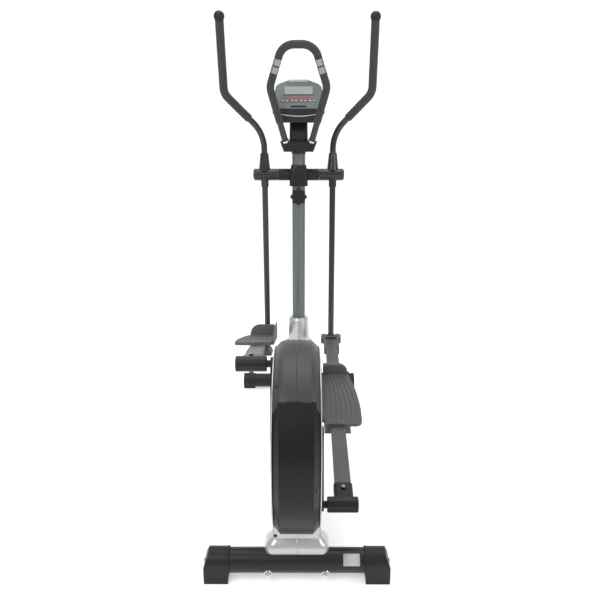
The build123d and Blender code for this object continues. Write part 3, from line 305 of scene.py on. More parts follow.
def metal_of(name, colour, rough, along, scale=300.0, bump=0.12):
    """Bare metal with fine lines along the way it was turned or ground."""
    material, tree, shader, _ = toned(name, colour, rough, drift=0.06, scale=14.0, dust=0.0,
                                      rough_drift=0.1)
    shader.inputs["Metallic"].default_value = 1.0
    lines = put_group(tree, brushed, Along=along, Scale=scale)
    put_bump(tree, shader, lines.outputs["Height"], bump, 0.0002)
    return material


def foam_of(name, colour):
    """Matt closed-cell foam, with painted shade darkening its pores."""
    material, tree, shader, look = toned(name, colour, rough=0.78, drift=0.16, scale=26.0, dust=0.03,
                                         rough_drift=0.1)
    cells = put_group(tree, foam_cells, Scale=1300.0, Dents=0.8)
    # painted shade: the pores' colour is mixed towards near-black
    dark = add_mix(tree, add_math(tree, "MULTIPLY", cells.outputs["Pore Shade"], 0.35),
                   look.outputs["Color"], (0.006, 0.006, 0.006, 1))
    tree.links.new(dark, shader.inputs["Base Color"])
    shader.inputs["Sheen Weight"].default_value = 0.15
    put_bump(tree, shader, cells.outputs["Height"], 0.45, 0.0005)
    return material


black_paint = finish_of("black_powder_coat", (0.010, 0.0108, 0.0115), 0.36, coat=0.06, grain_scale=700,
                        cells=0.2, bump=0.10, rough_drift=0.12, specular=0.3)
grey_paint = finish_of("grey_metallic_paint", (0.13, 0.142, 0.145), 0.38, metallic=0.45, coat=0.25,
                       grain_scale=1400, cells=0.1, bump=0.06, drift=0.05)
gloss_paint = finish_of("dark_gloss_paint", (0.020, 0.0215, 0.0225), 0.24, metallic=0.3, coat=0.3,
                        grain_scale=1200, cells=0.1, bump=0.05, drift=0.05)
bar_paint = finish_of("pedal_bar_paint", (0.095, 0.1, 0.104), 0.42, metallic=0.3, coat=0.1,
                      grain_scale=900, cells=0.2, bump=0.08)
silver = finish_of("silver_paint", (0.5, 0.51, 0.52), 0.3, metallic=0.55, coat=0.3, grain_scale=1600,
                   cells=0.1, bump=0.05, drift=0.04, dust=0.0)
black_plastic = finish_of("black_moulding", (0.010, 0.0105, 0.011), 0.42, grain_scale=1100, cells=0.6,
                          bump=0.2, specular=0.3)
rim_plastic = finish_of("rim_moulding", (0.006, 0.0064, 0.0067), 0.36, coat=0.03, grain_scale=1000,
                        cells=0.3, bump=0.1, rough_drift=0.08, specular=0.22)
dark_plastic = finish_of("dark_grey_moulding", (0.038, 0.040, 0.042), 0.4, grain_scale=900, cells=0.6,
                         bump=0.14, specular=0.35)
pedal_plastic = finish_of("pedal_moulding", (0.085, 0.088, 0.092), 0.6, grain_scale=700, cells=0.9,
                          bump=0.35, dust=0.05, drift=0.12)
console_grey = finish_of("console_face_paint", (0.15, 0.165, 0.165), 0.4, metallic=0.2, grain_scale=1500,
                         cells=0.3, bump=0.08)
red_plastic = finish_of("red_plug", (0.55, 0.045, 0.07), 0.35, grain_scale=900, bump=0.08, dust=0.0)
key_plastic = finish_of("key_top", (0.14, 0.13, 0.13), 0.4, grain_scale=1500, bump=0.08)
pulley_plastic = finish_of("pulley_moulding", (0.03, 0.03, 0.03), 0.5, grain_scale=500, bump=0.15)
rubber = finish_of("black_rubber", (0.012, 0.012, 0.012), 0.7, grain_scale=700, cells=0.9, bump=0.3,
                   dust=0.08)
sticker = finish_of("blank_label", (0.40, 0.42, 0.44), 0.38, grain_scale=1600, bump=0.03,
                    dust=0.0)
white_print = finish_of("white_print", (0.75, 0.76, 0.76), 0.5, grain_scale=1500, bump=0.03, dust=0.0)
red_print = finish_of("red_print", (0.5, 0.07, 0.05), 0.5, grain_scale=1500, bump=0.03, dust=0.0)
lcd_ink = finish_of("lcd_ink", (0.24, 0.26, 0.25), 0.4, grain_scale=1500, bump=0.02, dust=0.0)
lcd_glass = finish_of("lcd_window", (0.34, 0.38, 0.36), 0.16, coat=0.6, drift=0.03, grain_scale=1500,
                      cells=0.0, bump=0.01, dust=0.0)
chrome = metal_of("polished_chrome", (0.72, 0.73, 0.74), 0.12, (1, 1, 1), scale=90, bump=0.03)
black_steel = metal_of("blackened_screw", (0.05, 0.05, 0.05), 0.35, (1, 1, 1), scale=200)
steel = metal_of("turned_steel", (0.42, 0.42, 0.42), 0.32, (1, 8, 8))
cast_iron = metal_of("machined_iron", (0.12, 0.12, 0.12), 0.45, (6, 1, 1), scale=200, bump=0.2)
sensor_metal = metal_of("sensor_plate", (0.30, 0.31, 0.32), 0.3, (1, 1, 8), scale=200, bump=0.08)
foam = foam_of("black_foam", (0.024, 0.0255, 0.0265))

CARRIED = {
    black_paint: ["rear_stabilizer", "front_stabilizer", "base_rail", "crank_post", "cross_tube",
                  "crank_bearing_left", "crank_bearing_right", "crank_arm_left", "crank_arm_right"],
    grey_paint: ["mast", "upper_post"],
    gloss_paint: ["swing_arm_left", "swing_arm_right", "handle_left", "handle_right", "fixed_handlebar"],
    bar_paint: ["pedal_bar_left", "pedal_bar_right"],
    silver: ["mast_boot", "side_shell_left", "side_shell_right", "base_cover_left", "base_cover_right"],
    black_plastic: ["rear_foot_left", "rear_foot_right", "front_caps", "handlebar_clamp",
                    "console_panel", "console_bracket", "knob", "hub_covers", "grip_cap_left",
                    "grip_cap_right", "console_back"],
    rim_plastic: ["rim_cover"],
    dark_plastic: ["upper_cover"],
    pedal_plastic: ["pedal_left", "pedal_right"],
    console_grey: ["console_face"],
    foam: ["handlebar_foam", "foam_grip_left", "foam_grip_right"],
    red_plastic: ["foot_plugs"],
    lcd_glass: ["lcd_lens"],
    key_plastic: ["console_key_1", "console_key_2", "console_key_3", "console_key_4"],
    sensor_metal: ["pulse_sensors"],
    chrome: ["stabilizer_bolts"],
    steel: ["swing_shaft", "crank_axle", "crank_bearings", "flywheel_axle", "magnet_brake"],
    cast_iron: ["flywheel"],
    pulley_plastic: ["drive_pulley"],
    rubber: ["drive_belt", "transport_wheel_left", "transport_wheel_right"],
}
for material, names in CARRIED.items():
    for name in names:
        slots = nodes[name].material_slots
        for index in range(len(slots)):
            slots[index].material = material


# ---- Sweeps, plates and screws --------------------------------------------------------------
def bend_path(corners, bends, step=0.006):
    """Points along straight runs joined by arcs, one bend radius for each inner corner."""
    points = [corners[0]]
    for before, corner, after, bend in zip(corners, corners[1:], corners[2:], bends):
        come, go = (corner - before).normalized(), (after - corner).normalized()
        turn = come.angle(go)
        cut = bend * math.tan(turn / 2)
        start = corner - come * cut
        inward = (go - come * come.dot(go)).normalized()
        centre = start + inward * bend
        for index in range(int(bend * turn / step) + 2):
            angle = turn * index / (int(bend * turn / step) + 1)
            points.append(centre - inward * bend * math.cos(angle) + come * bend * math.sin(angle))
    points.append(corners[-1])
    full = [points[0]]
    for point in points[1:]:
        gap = (point - full[-1]).length
        start = full[-1]
        for index in range(1, int(gap / (2 * step)) + 1):
            full.append(start.lerp(point, index * 2 * step / gap))
        if (point - full[-1]).length > step / 4:
            full.append(point)
    return full


def hose(name, path, radius, inner, material, swell=0.0, lip=0.003, around=40):
    """A closed tube along a path, its ends rolled in; swell makes it slightly uneven, as foam is."""
    bm = bmesh.new()
    total = sum((b - a).length for a, b in zip(path, path[1:]))
    extra = [path[0].lerp(path[1], share) for share in (0.04, 0.12, 0.3)]
    late = [path[-1].lerp(path[-2], share) for share in (0.3, 0.12, 0.04)]
    path = [path[0]] + extra + path[1:-1] + late + [path[-1]]
    start_way = (path[1] - path[0]).normalized()
    aside = Vector((1, 0, 0)) if abs(start_way.z) > 0.99 else Vector((0, 0, 1))
    up = aside.cross(start_way).normalized()
    shells = {"out": [], "in": []}
    travelled = 0.0
    for index, point in enumerate(path):
        ahead = (path[min(index + 1, len(path) - 1)] - path[max(index - 1, 0)]).normalized()
        up = (up - ahead * up.dot(ahead)).normalized()
        across = ahead.cross(up)
        travelled += (point - path[index - 1]).length if index else 0.0
        near = min(travelled, total - travelled)
        roll = lip * (1 - math.sqrt(max(0.0, 1 - (1 - min(near / lip, 1.0)) ** 2)))
        for shell, size in (("out", radius - roll), ("in", inner)):
            ring = []
            for turn in range(around):
                a = 2 * math.pi * turn / around
                wave = swell * math.sin(37 * travelled + 2 * a) * math.sin(61 * travelled - a)
                reach = size + (wave if shell == "out" else 0.0)
                ring.append(bm.verts.new(point + up * reach * math.cos(a) + across * reach * math.sin(a)))
            shells[shell].append(ring)
    for rings in shells.values():
        for one, two in zip(rings, rings[1:]):
            for k in range(around):
                bm.faces.new((one[k], one[(k + 1) % around], two[(k + 1) % around], two[k]))
    for end in (0, -1):
        one, two = shells["out"][end], shells["in"][end]
        for k in range(around):
            bm.faces.new((one[k], one[(k + 1) % around], two[(k + 1) % around], two[k]))
    return from_bmesh(name, bm, material)


def rounded_block(name, frame_matrix, low, high, radius, material, segments=3):
    """A block with rounded edges between two corners of a frame."""
    bm = bmesh.new()
    bmesh.ops.create_cube(bm, size=1.0)
    for vertex in bm.verts:
        share = vertex.co + Vector((0.5, 0.5, 0.5))
        spot = Vector([low[k] + (high[k] - low[k]) * share[k] for k in range(3)])
        vertex.co = frame_matrix @ spot
    return soften(from_bmesh(name, bm, material, smooth=False), radius, segments, angle=20)


def local_frame(origin, pitch):
    """A frame with X across the machine and Y forward, pitched up by some degrees."""
    return Matrix.Translation(origin) @ Matrix.Rotation(math.radians(pitch), 4, "X")


SCREW_SIDES = 28
HEAD_TOP, WASHER_OUT, WASHER_THICK = 0.7, 1.25, 0.35     # shares of the head's own radius and height


def screw_maker():
    """Geometry Nodes that set a low tapered screw head on a washer on every point of a mesh."""
    group = bpy.data.node_groups.new("screw_maker", "GeometryNodeTree")
    face = group.interface
    face.new_socket("Geometry", in_out="INPUT", socket_type="NodeSocketGeometry")
    for socket, value in (("Head Radius", 0.004), ("Head Height", 0.0016)):
        made = face.new_socket(socket, in_out="INPUT", socket_type="NodeSocketFloat")
        made.default_value = value
    face.new_socket("Material", in_out="INPUT", socket_type="NodeSocketMaterial")
    face.new_socket("Geometry", in_out="OUTPUT", socket_type="NodeSocketGeometry")
    nodes_in = group.nodes.new("NodeGroupInput")
    nodes_out = group.nodes.new("NodeGroupOutput")
    new, tie = group.nodes.new, group.links.new
    radius, height = nodes_in.outputs["Head Radius"], nodes_in.outputs["Head Height"]
    washer = new("GeometryNodeMeshCylinder")
    head = new("GeometryNodeMeshCone")
    for part in (washer, head):
        part.inputs["Vertices"].default_value = SCREW_SIDES
    head.inputs["Side Segments"].default_value = 2
    tie(radius, head.inputs["Radius Bottom"])
    tie(add_math(group, "MULTIPLY", radius, HEAD_TOP), head.inputs["Radius Top"])
    tie(height, head.inputs["Depth"])
    tie(add_math(group, "MULTIPLY", radius, WASHER_OUT), washer.inputs["Radius"])
    tie(add_math(group, "MULTIPLY", height, WASHER_THICK), washer.inputs["Depth"])
    both = new("GeometryNodeJoinGeometry")
    for part in (head, washer):
        tie(part.outputs["Mesh"], both.inputs["Geometry"])
    facing = new("GeometryNodeInputNamedAttribute")
    facing.data_type = "FLOAT_VECTOR"
    facing.inputs["Name"].default_value = "facing"
    turn = new("FunctionNodeAlignRotationToVector")
    turn.axis = "Z"
    tie(facing.outputs["Attribute"], turn.inputs["Vector"])
    place = new("GeometryNodeInstanceOnPoints")
    tie(nodes_in.outputs["Geometry"], place.inputs["Points"])
    tie(both.outputs["Geometry"], place.inputs["Instance"])
    tie(turn.outputs["Rotation"], place.inputs["Rotation"])
    real = new("GeometryNodeRealizeInstances")
    tie(place.outputs["Instances"], real.inputs["Geometry"])
    paint = new("GeometryNodeSetMaterial")
    tie(real.outputs["Geometry"], paint.inputs["Geometry"])
    tie(nodes_in.outputs["Material"], paint.inputs["Material"])
    tie(paint.outputs["Geometry"], nodes_out.inputs["Geometry"])
    return group


screws = screw_maker()


def set_screws(name, body, slot, spots, radius, height, material):
    """Screws at (place, facing) spots, made into one plain mesh for a body."""
    mesh = bpy.data.meshes.new(name)
    mesh.from_pydata([tuple(place) for place, _ in spots], [], [])
    way = mesh.attributes.new("facing", "FLOAT_VECTOR", "POINT")
    for index, (_, facing) in enumerate(spots):
        way.data[index].vector = facing
    piece = link(name, mesh)
    modifier = piece.modifiers.new("screws", "NODES")
    modifier.node_group = screws
    given = {"Head Radius": radius, "Head Height": height, "Material": material}
    for item in screws.interface.items_tree:
        if item.in_out == "INPUT" and item.name in given:
            modifier[item.identifier] = given[item.name]
    bake(piece)
    return seat(piece, body, slot)


# ---- Foam grips, handlebar foam and the rings at its feet -----------------------------------
swing_axis = joint_at("left_swing")
ARM_X, ARM_REST = 0.141, 3.8
HANDLE_CORNERS = ((0.057, -0.0119, 0.2241), (0.153, -0.032, 0.322), (0.156, -0.062, 0.586))
HANDLE_BEND, GRIP_R, TUBE_R = 0.058, 0.0165, 0.0125
FOAM_IN, FOAM_FILL = TUBE_R + 0.0003, 0.95
for name, side in SIDES:
    arm = local_frame(swing_axis, -side * ARM_REST)
    corners = [arm @ Vector((side * (ARM_X + out), ahead, up)) for out, ahead, up in HANDLE_CORNERS]
    grip = hose(f"grip_foam_{name}", bend_path(corners, [HANDLE_BEND]), GRIP_R, FOAM_IN, foam,
                swell=0.00025)
    seat(grip, f"swing_{name}", "foam", f"foam_grip_{name}")

clamp_low, clamp_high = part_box("handlebar_clamp")
LOOP_LEAN, LOOP_BACK, LOOP_SUNK = 25.6, 0.042, 0.012
LOOP_CORNERS = ((0.050, 0.0), (0.109, 0.240), (0.058, 0.402))
LOOP_BENDS, LOOP_FOAM_R, LOOP_SWELL = (0.070, 0.060), 0.0148, 0.0002
SENSOR_LOW, SENSOR_TOP, FOAM_LOW = 0.298, 0.352, 0.096
FOOT_RING_UP, FOOT_RING_R = (0.012, 0.016, 0.020), 0.0165
loop = local_frame(Vector((0, swing_axis.y - LOOP_BACK, clamp_high.z - LOOP_SUNK)), LOOP_LEAN)


def loop_point(side, up):
    """A point on the handlebar's centre line at a height in its own plane."""
    (foot_x, _), (wide_x, wide_up), (arch_x, arch_up) = LOOP_CORNERS
    if up <= wide_up:
        out = foot_x + (wide_x - foot_x) * up / wide_up
    else:
        out = wide_x + (arch_x - wide_x) * (up - wide_up) / (arch_up - wide_up)
    return loop @ Vector((side * out, 0, up))


wide_up, arch_up = LOOP_CORNERS[1][1], LOOP_CORNERS[2][1]
arch = [loop_point(RIGHT, SENSOR_TOP), loop_point(RIGHT, arch_up), loop_point(LEFT, arch_up),
        loop_point(LEFT, SENSOR_TOP)]
arch_foam = hose("handlebar_arch_foam", bend_path(arch, [LOOP_BENDS[1]] * 2), LOOP_FOAM_R, FOAM_IN,
                 foam, swell=LOOP_SWELL)
seat(arch_foam, "frame", "foam", "handlebar_foam")
for name, side in SIDES:
    low_run = [loop_point(side, FOAM_LOW), loop_point(side, wide_up), loop_point(side, SENSOR_LOW)]
    run_foam = hose(f"handlebar_run_foam_{name}", bend_path(low_run, [LOOP_BENDS[0]]), LOOP_FOAM_R,
                    FOAM_IN, foam, swell=LOOP_SWELL)
    seat(run_foam, "frame", "foam", "handlebar_foam")
    ring = hose(f"foot_ring_{name}", [loop_point(side, up) for up in FOOT_RING_UP], FOOT_RING_R,
                TUBE_R + 0.0002, chrome, lip=0.0015)
    seat(ring, "frame", "chrome")

COLLAR_DOWN, COLLAR_R, COLLAR_IN = (0.012, 0.006, -0.001), 0.0300, 0.0276
mast_y = middle("mast").y
collar_path = [Vector((0, mast_y, clamp_low.z - down)) for down in COLLAR_DOWN]
collar = hose("clamp_collar", collar_path, COLLAR_R, COLLAR_IN, gloss_paint, lip=0.002)
seat(collar, "frame", "grey_paint")


# ---- Drum's upper cover ---------------------------------------------------------------------
CROWN_HALF, SHOULDER_WIDE, COVER_WALL = 0.046, 0.022, 0.0024
COVER_FRONT, COVER_ROWS = -60.5, 72             # degrees round the drum from its top, and steps
LIP_REAR, LIP_BOW, LIP_SWEEP, LIP_LAST = 44.6, 0.9, 6.0, 51.5
CROWN_SECTION = (                               # out from the middle, and up from the crown's top
    (0.0, -0.0008), (0.0004, -0.0008), (0.0009, 0.0), (0.0018, 0.0), (0.004, 0.0),
    (0.012, -0.0001), (0.020, -0.0003), (0.030, -0.0009), (0.040, -0.0022), (0.046, -0.0040),
    (0.050, -0.0068), (0.057, -0.0138), (0.0635, -0.0205), (0.0665, -0.0245), (0.0678, -0.0285),
    (0.0680, -0.0330), (0.0680, -0.0440))


def drum_cover():
    """The shaped cover over the drum's top: a crown with a middle seam, and bevelled shoulders."""
    centre = joint_at("crank_spin")
    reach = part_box("upper_cover")[1].z - centre.z
    section = [(-x, off) for x, off in reversed(CROWN_SECTION[1:])] + list(CROWN_SECTION)
    front = math.radians(COVER_FRONT)
    bm = bmesh.new()
    grid = []
    for x, off in section:
        away = abs(x)
        bow = LIP_BOW * min(away / CROWN_HALF, 1) ** 2
        sweep = LIP_SWEEP * max(0.0, (away - CROWN_HALF) / SHOULDER_WIDE)
        end = math.radians(min(LIP_REAR + bow + sweep, LIP_LAST))
        line = []
        for row in range(COVER_ROWS + 1):
            angle = front + (end - front) * row / COVER_ROWS
            r = reach + off
            line.append(bm.verts.new((x, centre.y - r * math.sin(angle), centre.z + r * math.cos(angle))))
        grid.append(line)
    for one, two in zip(grid, grid[1:]):
        for row in range(COVER_ROWS):
            bm.faces.new((one[row], two[row], two[row + 1], one[row + 1]))
    piece = from_bmesh("drum_upper_cover", bm, dark_plastic)
    shell = piece.modifiers.new("wall", "SOLIDIFY")
    shell.thickness = COVER_WALL
    shell.offset = -1.0
    bake(piece)
    return seat(piece, "frame", "dark_plastic", "upper_cover")


drum_cover()


# ---- Base flare -----------------------------------------------------------------------------
COLUMN_HALF, COLUMN_INSET, FLARE_RISE = 0.0696, 0.0177, 0.046
SEAM_DEEP, CORNER_STEPS = 0.001, 8
SEAM = ((-0.030, 0), (-0.004, 0), (-0.002, 0), (-0.0009, 0), (-0.0004, SEAM_DEEP), (0.0004, SEAM_DEEP),
        (0.0009, 0), (0.002, 0), (0.004, 0), (0.030, 0))


def flare_outline(half, low_y, high_y, corner, z):
    """A rounded rectangle with a notch for the seam at the middle of its rear side."""
    points = []
    corners = ((half - corner, low_y + corner, -90), (half - corner, high_y - corner, 0),
               (corner - half, high_y - corner, 90), (corner - half, low_y + corner, 180))
    for cx, cy, start in corners:
        for step in range(CORNER_STEPS + 1):
            a = math.radians(start + 90 * step / CORNER_STEPS)
            points.append(Vector((cx + corner * math.cos(a), cy + corner * math.sin(a), z)))
    return points + [Vector((x, low_y + depth, z)) for x, depth in SEAM]


def flare_rows(low, high):
    """The flare's rings from its foot up: height, half width, inset front and back, corner radius."""
    half = -low.x
    foot = [(up, half - narrower, inset, corner) for up, narrower, inset, corner in (
        (0.0, 0.004, 0.003, 0.020), (0.003, 0.001, 0.0006, 0.022), (0.009, 0.0, 0.0, 0.024),
        (0.018, 0.0008, 0.0005, 0.024), (0.026, 0.0035, 0.002, 0.023), (0.033, 0.009, 0.006, 0.022),
        (0.039, 0.0145, 0.0105, 0.020), (0.043, 0.0185, 0.014, 0.018),
        (FLARE_RISE, 0.0205, 0.0165, 0.014))]
    tall = high.z - low.z
    column = [(FLARE_RISE + 0.0015, COLUMN_HALF + 0.0005, COLUMN_INSET - 0.0002, 0.010),
              (FLARE_RISE + 0.004, COLUMN_HALF, COLUMN_INSET, 0.006),
              (0.09, COLUMN_HALF, COLUMN_INSET, 0.006),
              (tall - 0.002, COLUMN_HALF, COLUMN_INSET, 0.006),
              (tall, COLUMN_HALF - 0.0015, COLUMN_INSET + 0.0013, 0.005)]
    return [(low.z + up, wide, inset, corner) for up, wide, inset, corner in foot + column]


def base_flare():
    """The silver cover where the drum meets the rear stabilizer."""
    low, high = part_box("base_cover_left")
    bm = bmesh.new()
    rings = []
    for z, wide, inset, corner in flare_rows(low, high):
        outline = flare_outline(wide, low.y + inset, high.y - inset, corner, z)
        rings.append([bm.verts.new(point) for point in outline])
    for one, two in zip(rings, rings[1:]):
        for k in range(len(one)):
            bm.faces.new((one[k], one[(k + 1) % len(one)], two[(k + 1) % len(one)], two[k]))
    for ring in (rings[0], rings[-1]):
        bm.faces.new(ring)
    piece = from_bmesh("base_flare", bm, silver)
    return seat(piece, "frame", "silver_plastic", "base_cover_left", "base_cover_right")


base_flare()


# ---- Console: accent, bands, marks and trim -------------------------------------------------
CONSOLE_LEAN, FACE_Y = -16.9, -0.0050
LENS_AT = Vector((0, -0.00225, 0.044))          # the display's middle in the console's own frame
console = local_frame(Vector((0, 0, 0)), CONSOLE_LEAN)
console.translation = middle("lcd_lens") - (console.to_3x3() @ LENS_AT)


def console_plate(name, x0, x1, up0, up1, proud, radius, material, slot, body="frame", base=FACE_Y):
    """A thin raised plate on the console's face."""
    low, high = (x0, base - proud, up0), (x1, base + 0.0004, up1)
    return seat(rounded_block(name, console, low, high, radius, material, 2), body, slot)


FACE_PLATES = (     # half width, lower and upper edge, height off the face, rounding, finish and slot
    ("console_top_accent", 0.037, 0.0765, 0.0865, 0.0022, 0.0012, silver, "silver_plastic"),
    ("lcd_frame_low", 0.060, 0.0235, 0.0262, 0.0006, 0.0002, black_plastic, "black_plastic"),
    ("red_band_upper", 0.058, 0.0175, 0.0195, 0.0004, 0.00015, red_print, "red_plastic"),
    ("red_band_lower", 0.056, -0.0090, -0.0074, 0.0004, 0.00015, red_print, "red_plastic"),
    ("slot_frame", 0.034, -0.0245, -0.0232, 0.0006, 0.0002, black_plastic, "black_plastic"))
for name, half, *rest in FACE_PLATES:
    console_plate(name, -half, half, *rest)

KEY_PITCH, KEY_FACE = 0.036, -0.0066
MARK_SHIFT, MARK_HALF, MARK_UP, PRINT_PROUD, PRINT_ROUND = 0.008, 0.0028, (0.0004, 0.0036), 0.0003, 0.0001
for key in range(4):
    x = (key - 1.5) * KEY_PITCH
    for number, shift in enumerate((-MARK_SHIFT, MARK_SHIFT)):
        console_plate(f"key_mark_{key + 1}_{number + 1}", x + shift - MARK_HALF, x + shift + MARK_HALF,
                      *MARK_UP, PRINT_PROUD, PRINT_ROUND, white_print, "key_plastic",
                      body=f"key_{key + 1}", base=KEY_FACE)

LCD_MARKS = ((-0.040, 0.016), (-0.018, 0.010), (0.002, 0.018), (0.028, 0.012))      # start and width
LCD_UP, LCD_FACE = (0.041, 0.0425), -0.0038
for number, (x, wide) in enumerate(LCD_MARKS):
    console_plate(f"lcd_segment_{number + 1}", x, x + wide, *LCD_UP, PRINT_PROUD, PRINT_ROUND, lcd_ink,
                  "lens", base=LCD_FACE)

TRIM_HALF, TRIM_UP, TRIM_SAG, TRIM_STEPS = 0.088, -0.060, 0.012, 24
trim_path = []
for step in range(TRIM_STEPS + 1):
    share = 2 * step / TRIM_STEPS - 1
    up = TRIM_UP + TRIM_SAG * share * share
    trim_path.append(console @ Vector((TRIM_HALF * share, FACE_Y - 0.0006, up)))
trim = hose("console_trim", trim_path, 0.0018, 0.0004, silver, lip=0.001, around=16)
seat(trim, "frame", "silver_plastic")

# ---- Red plugs, label and screws ------------------------------------------------------------
BAR_UP, TREAD_TILT, TREAD_BACK = 0.024, -1.2, 0.364
PLUG_X, PLUG_BACK, PLUG_SUNK, PLUG_R, PLUG_TALL = 0.158, 0.014, -0.0028, 0.0060, 0.0038
PIN_END = 0.020                                 # from a crank arm's end to its pin
BAR_SCREW_Y, BAR_TOP, DOME_SIDES = 0.054, 0.0230, 32


def tread_frame(name, side):
    """The frames of a pedal's top and of its bar, from the linkage's own pivots."""
    low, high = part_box(f"crank_arm_{name}")
    if side == RIGHT:
        pin = Vector((0, low.y + PIN_END, low.z + PIN_END))
    else:
        pin = Vector((0, high.y - PIN_END, high.z - PIN_END))
    foot = joint_at(f"{name}_bar")
    slope = math.atan2(foot.z - pin.z, foot.y - pin.y)
    bar = local_frame(pin, math.degrees(slope))
    origin = bar @ Vector((0, TREAD_BACK, BAR_UP))
    return local_frame(origin, math.degrees(slope) + TREAD_TILT), bar


def dome(name, matrix, place, radius, height, material):
    """A low round button with a rolled edge."""
    bm = bmesh.new()
    profile = [(1.0, -0.6), (1.0, 0.35), (0.92, 0.72), (0.75, 0.93), (0.45, 1.0)]
    middle_at = Vector(place)
    turns = [2 * math.pi * k / DOME_SIDES for k in range(DOME_SIDES)]
    rings = []
    for share, up in profile:
        wide = radius * share
        ring = [middle_at + Vector((wide * math.cos(a), wide * math.sin(a), height * up)) for a in turns]
        rings.append([bm.verts.new(matrix @ point) for point in ring])
    for one, two in zip(rings, rings[1:]):
        for k in range(DOME_SIDES):
            after = (k + 1) % DOME_SIDES
            bm.faces.new((one[k], one[after], two[after], two[k]))
    bm.faces.new(rings[-1])
    bm.faces.new(rings[0])
    return from_bmesh(name, bm, material)


for name, side in SIDES:
    tread, bar = tread_frame(name, side)
    plug = dome(f"pedal_plug_{name}", tread, (side * PLUG_X, PLUG_BACK, PLUG_SUNK), PLUG_R, PLUG_TALL,
                red_plastic)
    seat(plug, f"bar_{name}", "red_plastic")
    up = (bar.to_3x3() @ Vector((0, 0, 1))).normalized()
    spots = [(bar @ Vector((side * ARM_X, BAR_SCREW_Y, BAR_TOP)), up)]
    set_screws(f"bar_screws_{name}", f"bar_{name}", "chrome", spots, 0.0045, 0.0022, steel)

rear_axis = middle("rear_stabilizer")
LABEL_X, LABEL_HALF, LABEL_OUT, LABEL_WALL = 0.158, 0.024, 0.03625, 0.0003
LABEL_FROM, LABEL_SPAN, LABEL_STEPS = 24, 56, 12        # degrees back from the tube's top


def blank_label():
    """A plain silver label laid on the rear tube's upper back."""
    bm = bmesh.new()
    lines = []
    for row in range(LABEL_STEPS + 1):
        a = math.radians(LABEL_FROM + LABEL_SPAN * row / LABEL_STEPS)
        y, z = rear_axis.y - LABEL_OUT * math.sin(a), rear_axis.z + LABEL_OUT * math.cos(a)
        lines.append([bm.verts.new((LABEL_X + LABEL_HALF * end, y, z)) for end in (LEFT, RIGHT)])
    for one, two in zip(lines, lines[1:]):
        bm.faces.new((one[0], one[1], two[1], two[0]))
    piece = from_bmesh("blank_label", bm, sticker)
    wall = piece.modifiers.new("wall", "SOLIDIFY")
    wall.thickness = LABEL_WALL
    bake(piece)
    return seat(piece, "frame", "silver_plastic")


blank_label()

SHELL_SCREWS, SHELL_SCREW_R = 8, 0.238
COVER_SCREWS, COVER_SCREW_R, COVER_SLANT = ((34.0, -0.0555), (94.0, 0.0555)), 0.2705, 1.1
FLARE_SCREW_X, FLARE_SCREW_UP = -0.062, 0.056


def cover_screw_spots():
    """Places and facings of the screws in the side shells, the drum's cover and the base flare."""
    axis, shell_x = joint_at("crank_spin"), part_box("side_shell_right")[1].x
    spots = []
    for side in (LEFT, RIGHT):
        for k in range(SHELL_SCREWS):
            a = math.radians(22.5 + 45 * k)
            place = Vector((side * shell_x, axis.y + SHELL_SCREW_R * math.sin(a),
                            axis.z + SHELL_SCREW_R * math.cos(a)))
            spots.append((place, Vector((side, 0, 0))))
    for angle, x in COVER_SCREWS:
        a = math.radians(angle)
        out = Vector((0, -math.sin(a), math.cos(a)))
        slant = (out + Vector((math.copysign(COVER_SLANT, x), 0, 0))).normalized()
        spots.append((axis + out * COVER_SCREW_R + Vector((x, 0, 0)), slant))
    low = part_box("base_cover_left")[0]
    place = Vector((FLARE_SCREW_X, low.y + COLUMN_INSET, low.z + FLARE_SCREW_UP))
    return spots + [(place, Vector((0, -1, 0)))]


set_screws("cover_screws", "frame", "steel", cover_screw_spots(), 0.0045, 0.0014, black_steel)

LIP_RING_HALF, LIP_RING_R, LIP_RING_IN = 0.003, 0.0402, 0.0364
for name, side in SIDES:
    foot_low, foot_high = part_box(f"rear_foot_{name}")
    inner = foot_low.x if side == RIGHT else foot_high.x
    ring_path = [Vector((inner + side * along, rear_axis.y, rear_axis.z))
                 for along in (-LIP_RING_HALF, 0.0, LIP_RING_HALF)]
    lip_ring = hose(f"foot_lip_{name}", ring_path, LIP_RING_R, LIP_RING_IN, black_plastic, lip=0.0014,
                    around=64)
    seat(lip_ring, "frame", "black_plastic")

# ---- Floor, light and camera ----------------------------------------------------------------
CAMERA_BACK, CAMERA_HEIGHT, CAMERA_RIGHT = 1.590, 1.327, 0.014
CAMERA_PITCH, CAMERA_YAW, CAMERA_LENS, CAMERA_SENSOR = 16.7, 0.18, 38.6, 36.0
FLOOR_REAR, FLOOR_FRONT, FLOOR_HALF, SWEEP_R, WALL_TOP = -7.0, 4.0, 12.0, 3.0, 9.0
FLOOR_GLOW, WORLD_LIGHT = 0.42, 0.55
WHITE = (1.0, 1.0, 1.0, 1)
LAMPS = (           # place, aim, size and power
    ("key", (-1.6, -2.4, 3.0), (0, 0, 0.9), 1.8, 55),
    ("fill", (2.4, -1.6, 2.2), (0, 0, 0.8), 1.8, 32),
    ("top", (0, 0.4, 3.4), (0, 0, 0.6), 2.2, 34))


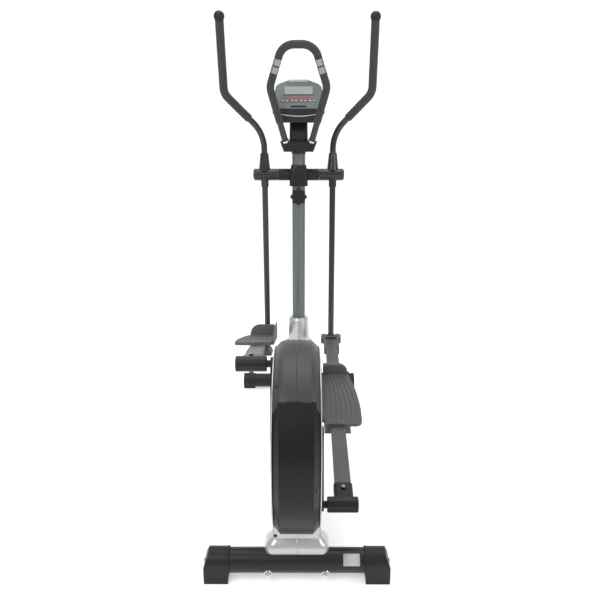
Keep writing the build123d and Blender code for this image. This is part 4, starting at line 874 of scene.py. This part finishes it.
def lamp(name, place, aim, size, power):
    """A soft area light aimed at a point."""
    data = bpy.data.lights.new(name, "AREA")
    data.energy = power
    data.size = size
    light = bpy.data.objects.new(name, data)
    bpy.context.scene.collection.objects.link(light)
    light.location = place
    light.rotation_euler = (Vector(aim) - Vector(place)).to_track_quat("-Z", "Y").to_euler()


def studio():
    """A pale floor that sweeps up into a wall, a white surround, soft lights and the camera."""
    bm = bmesh.new()
    turns = [math.radians(degrees) for degrees in range(6, 91, 6)]
    profile = [(FLOOR_REAR, 0.0), (FLOOR_FRONT, 0.0)]
    profile += [(FLOOR_FRONT + SWEEP_R * math.sin(a), SWEEP_R - SWEEP_R * math.cos(a)) for a in turns]
    profile += [(FLOOR_FRONT + SWEEP_R, WALL_TOP)]
    lines = [[bm.verts.new((x, y, z)) for x in (-FLOOR_HALF, FLOOR_HALF)] for y, z in profile]
    for one, two in zip(lines, lines[1:]):
        bm.faces.new((one[0], one[1], two[1], two[0]))
    pale = finish_of("pale_floor", (0.86, 0.86, 0.86), 0.7, drift=0.01, scale=1.0, dust=0.0, grain_scale=60,
                     bump=0.01)
    glow = pale.node_tree.nodes["Principled BSDF"]
    glow.inputs["Emission Color"].default_value = WHITE
    glow.inputs["Emission Strength"].default_value = FLOOR_GLOW
    floor = from_bmesh("studio_floor", bm, pale)
    world = bpy.data.worlds.new("studio")
    world.use_nodes = True
    background = world.node_tree.nodes["Background"]
    background.inputs["Color"].default_value = WHITE
    background.inputs["Strength"].default_value = WORLD_LIGHT
    bpy.context.scene.world = world
    for given in LAMPS:
        lamp(*given)
    data = bpy.data.cameras.new("camera")
    data.lens = CAMERA_LENS
    data.sensor_width = CAMERA_SENSOR
    camera = bpy.data.objects.new("camera", data)
    bpy.context.scene.collection.objects.link(camera)
    camera.location = (CAMERA_RIGHT, rear_axis.y - CAMERA_BACK, CAMERA_HEIGHT)
    camera.rotation_euler = (math.radians(90 - CAMERA_PITCH), 0, math.radians(CAMERA_YAW))
    bpy.context.scene.camera = camera
    bpy.context.scene.view_settings.view_transform = "Standard"


studio()
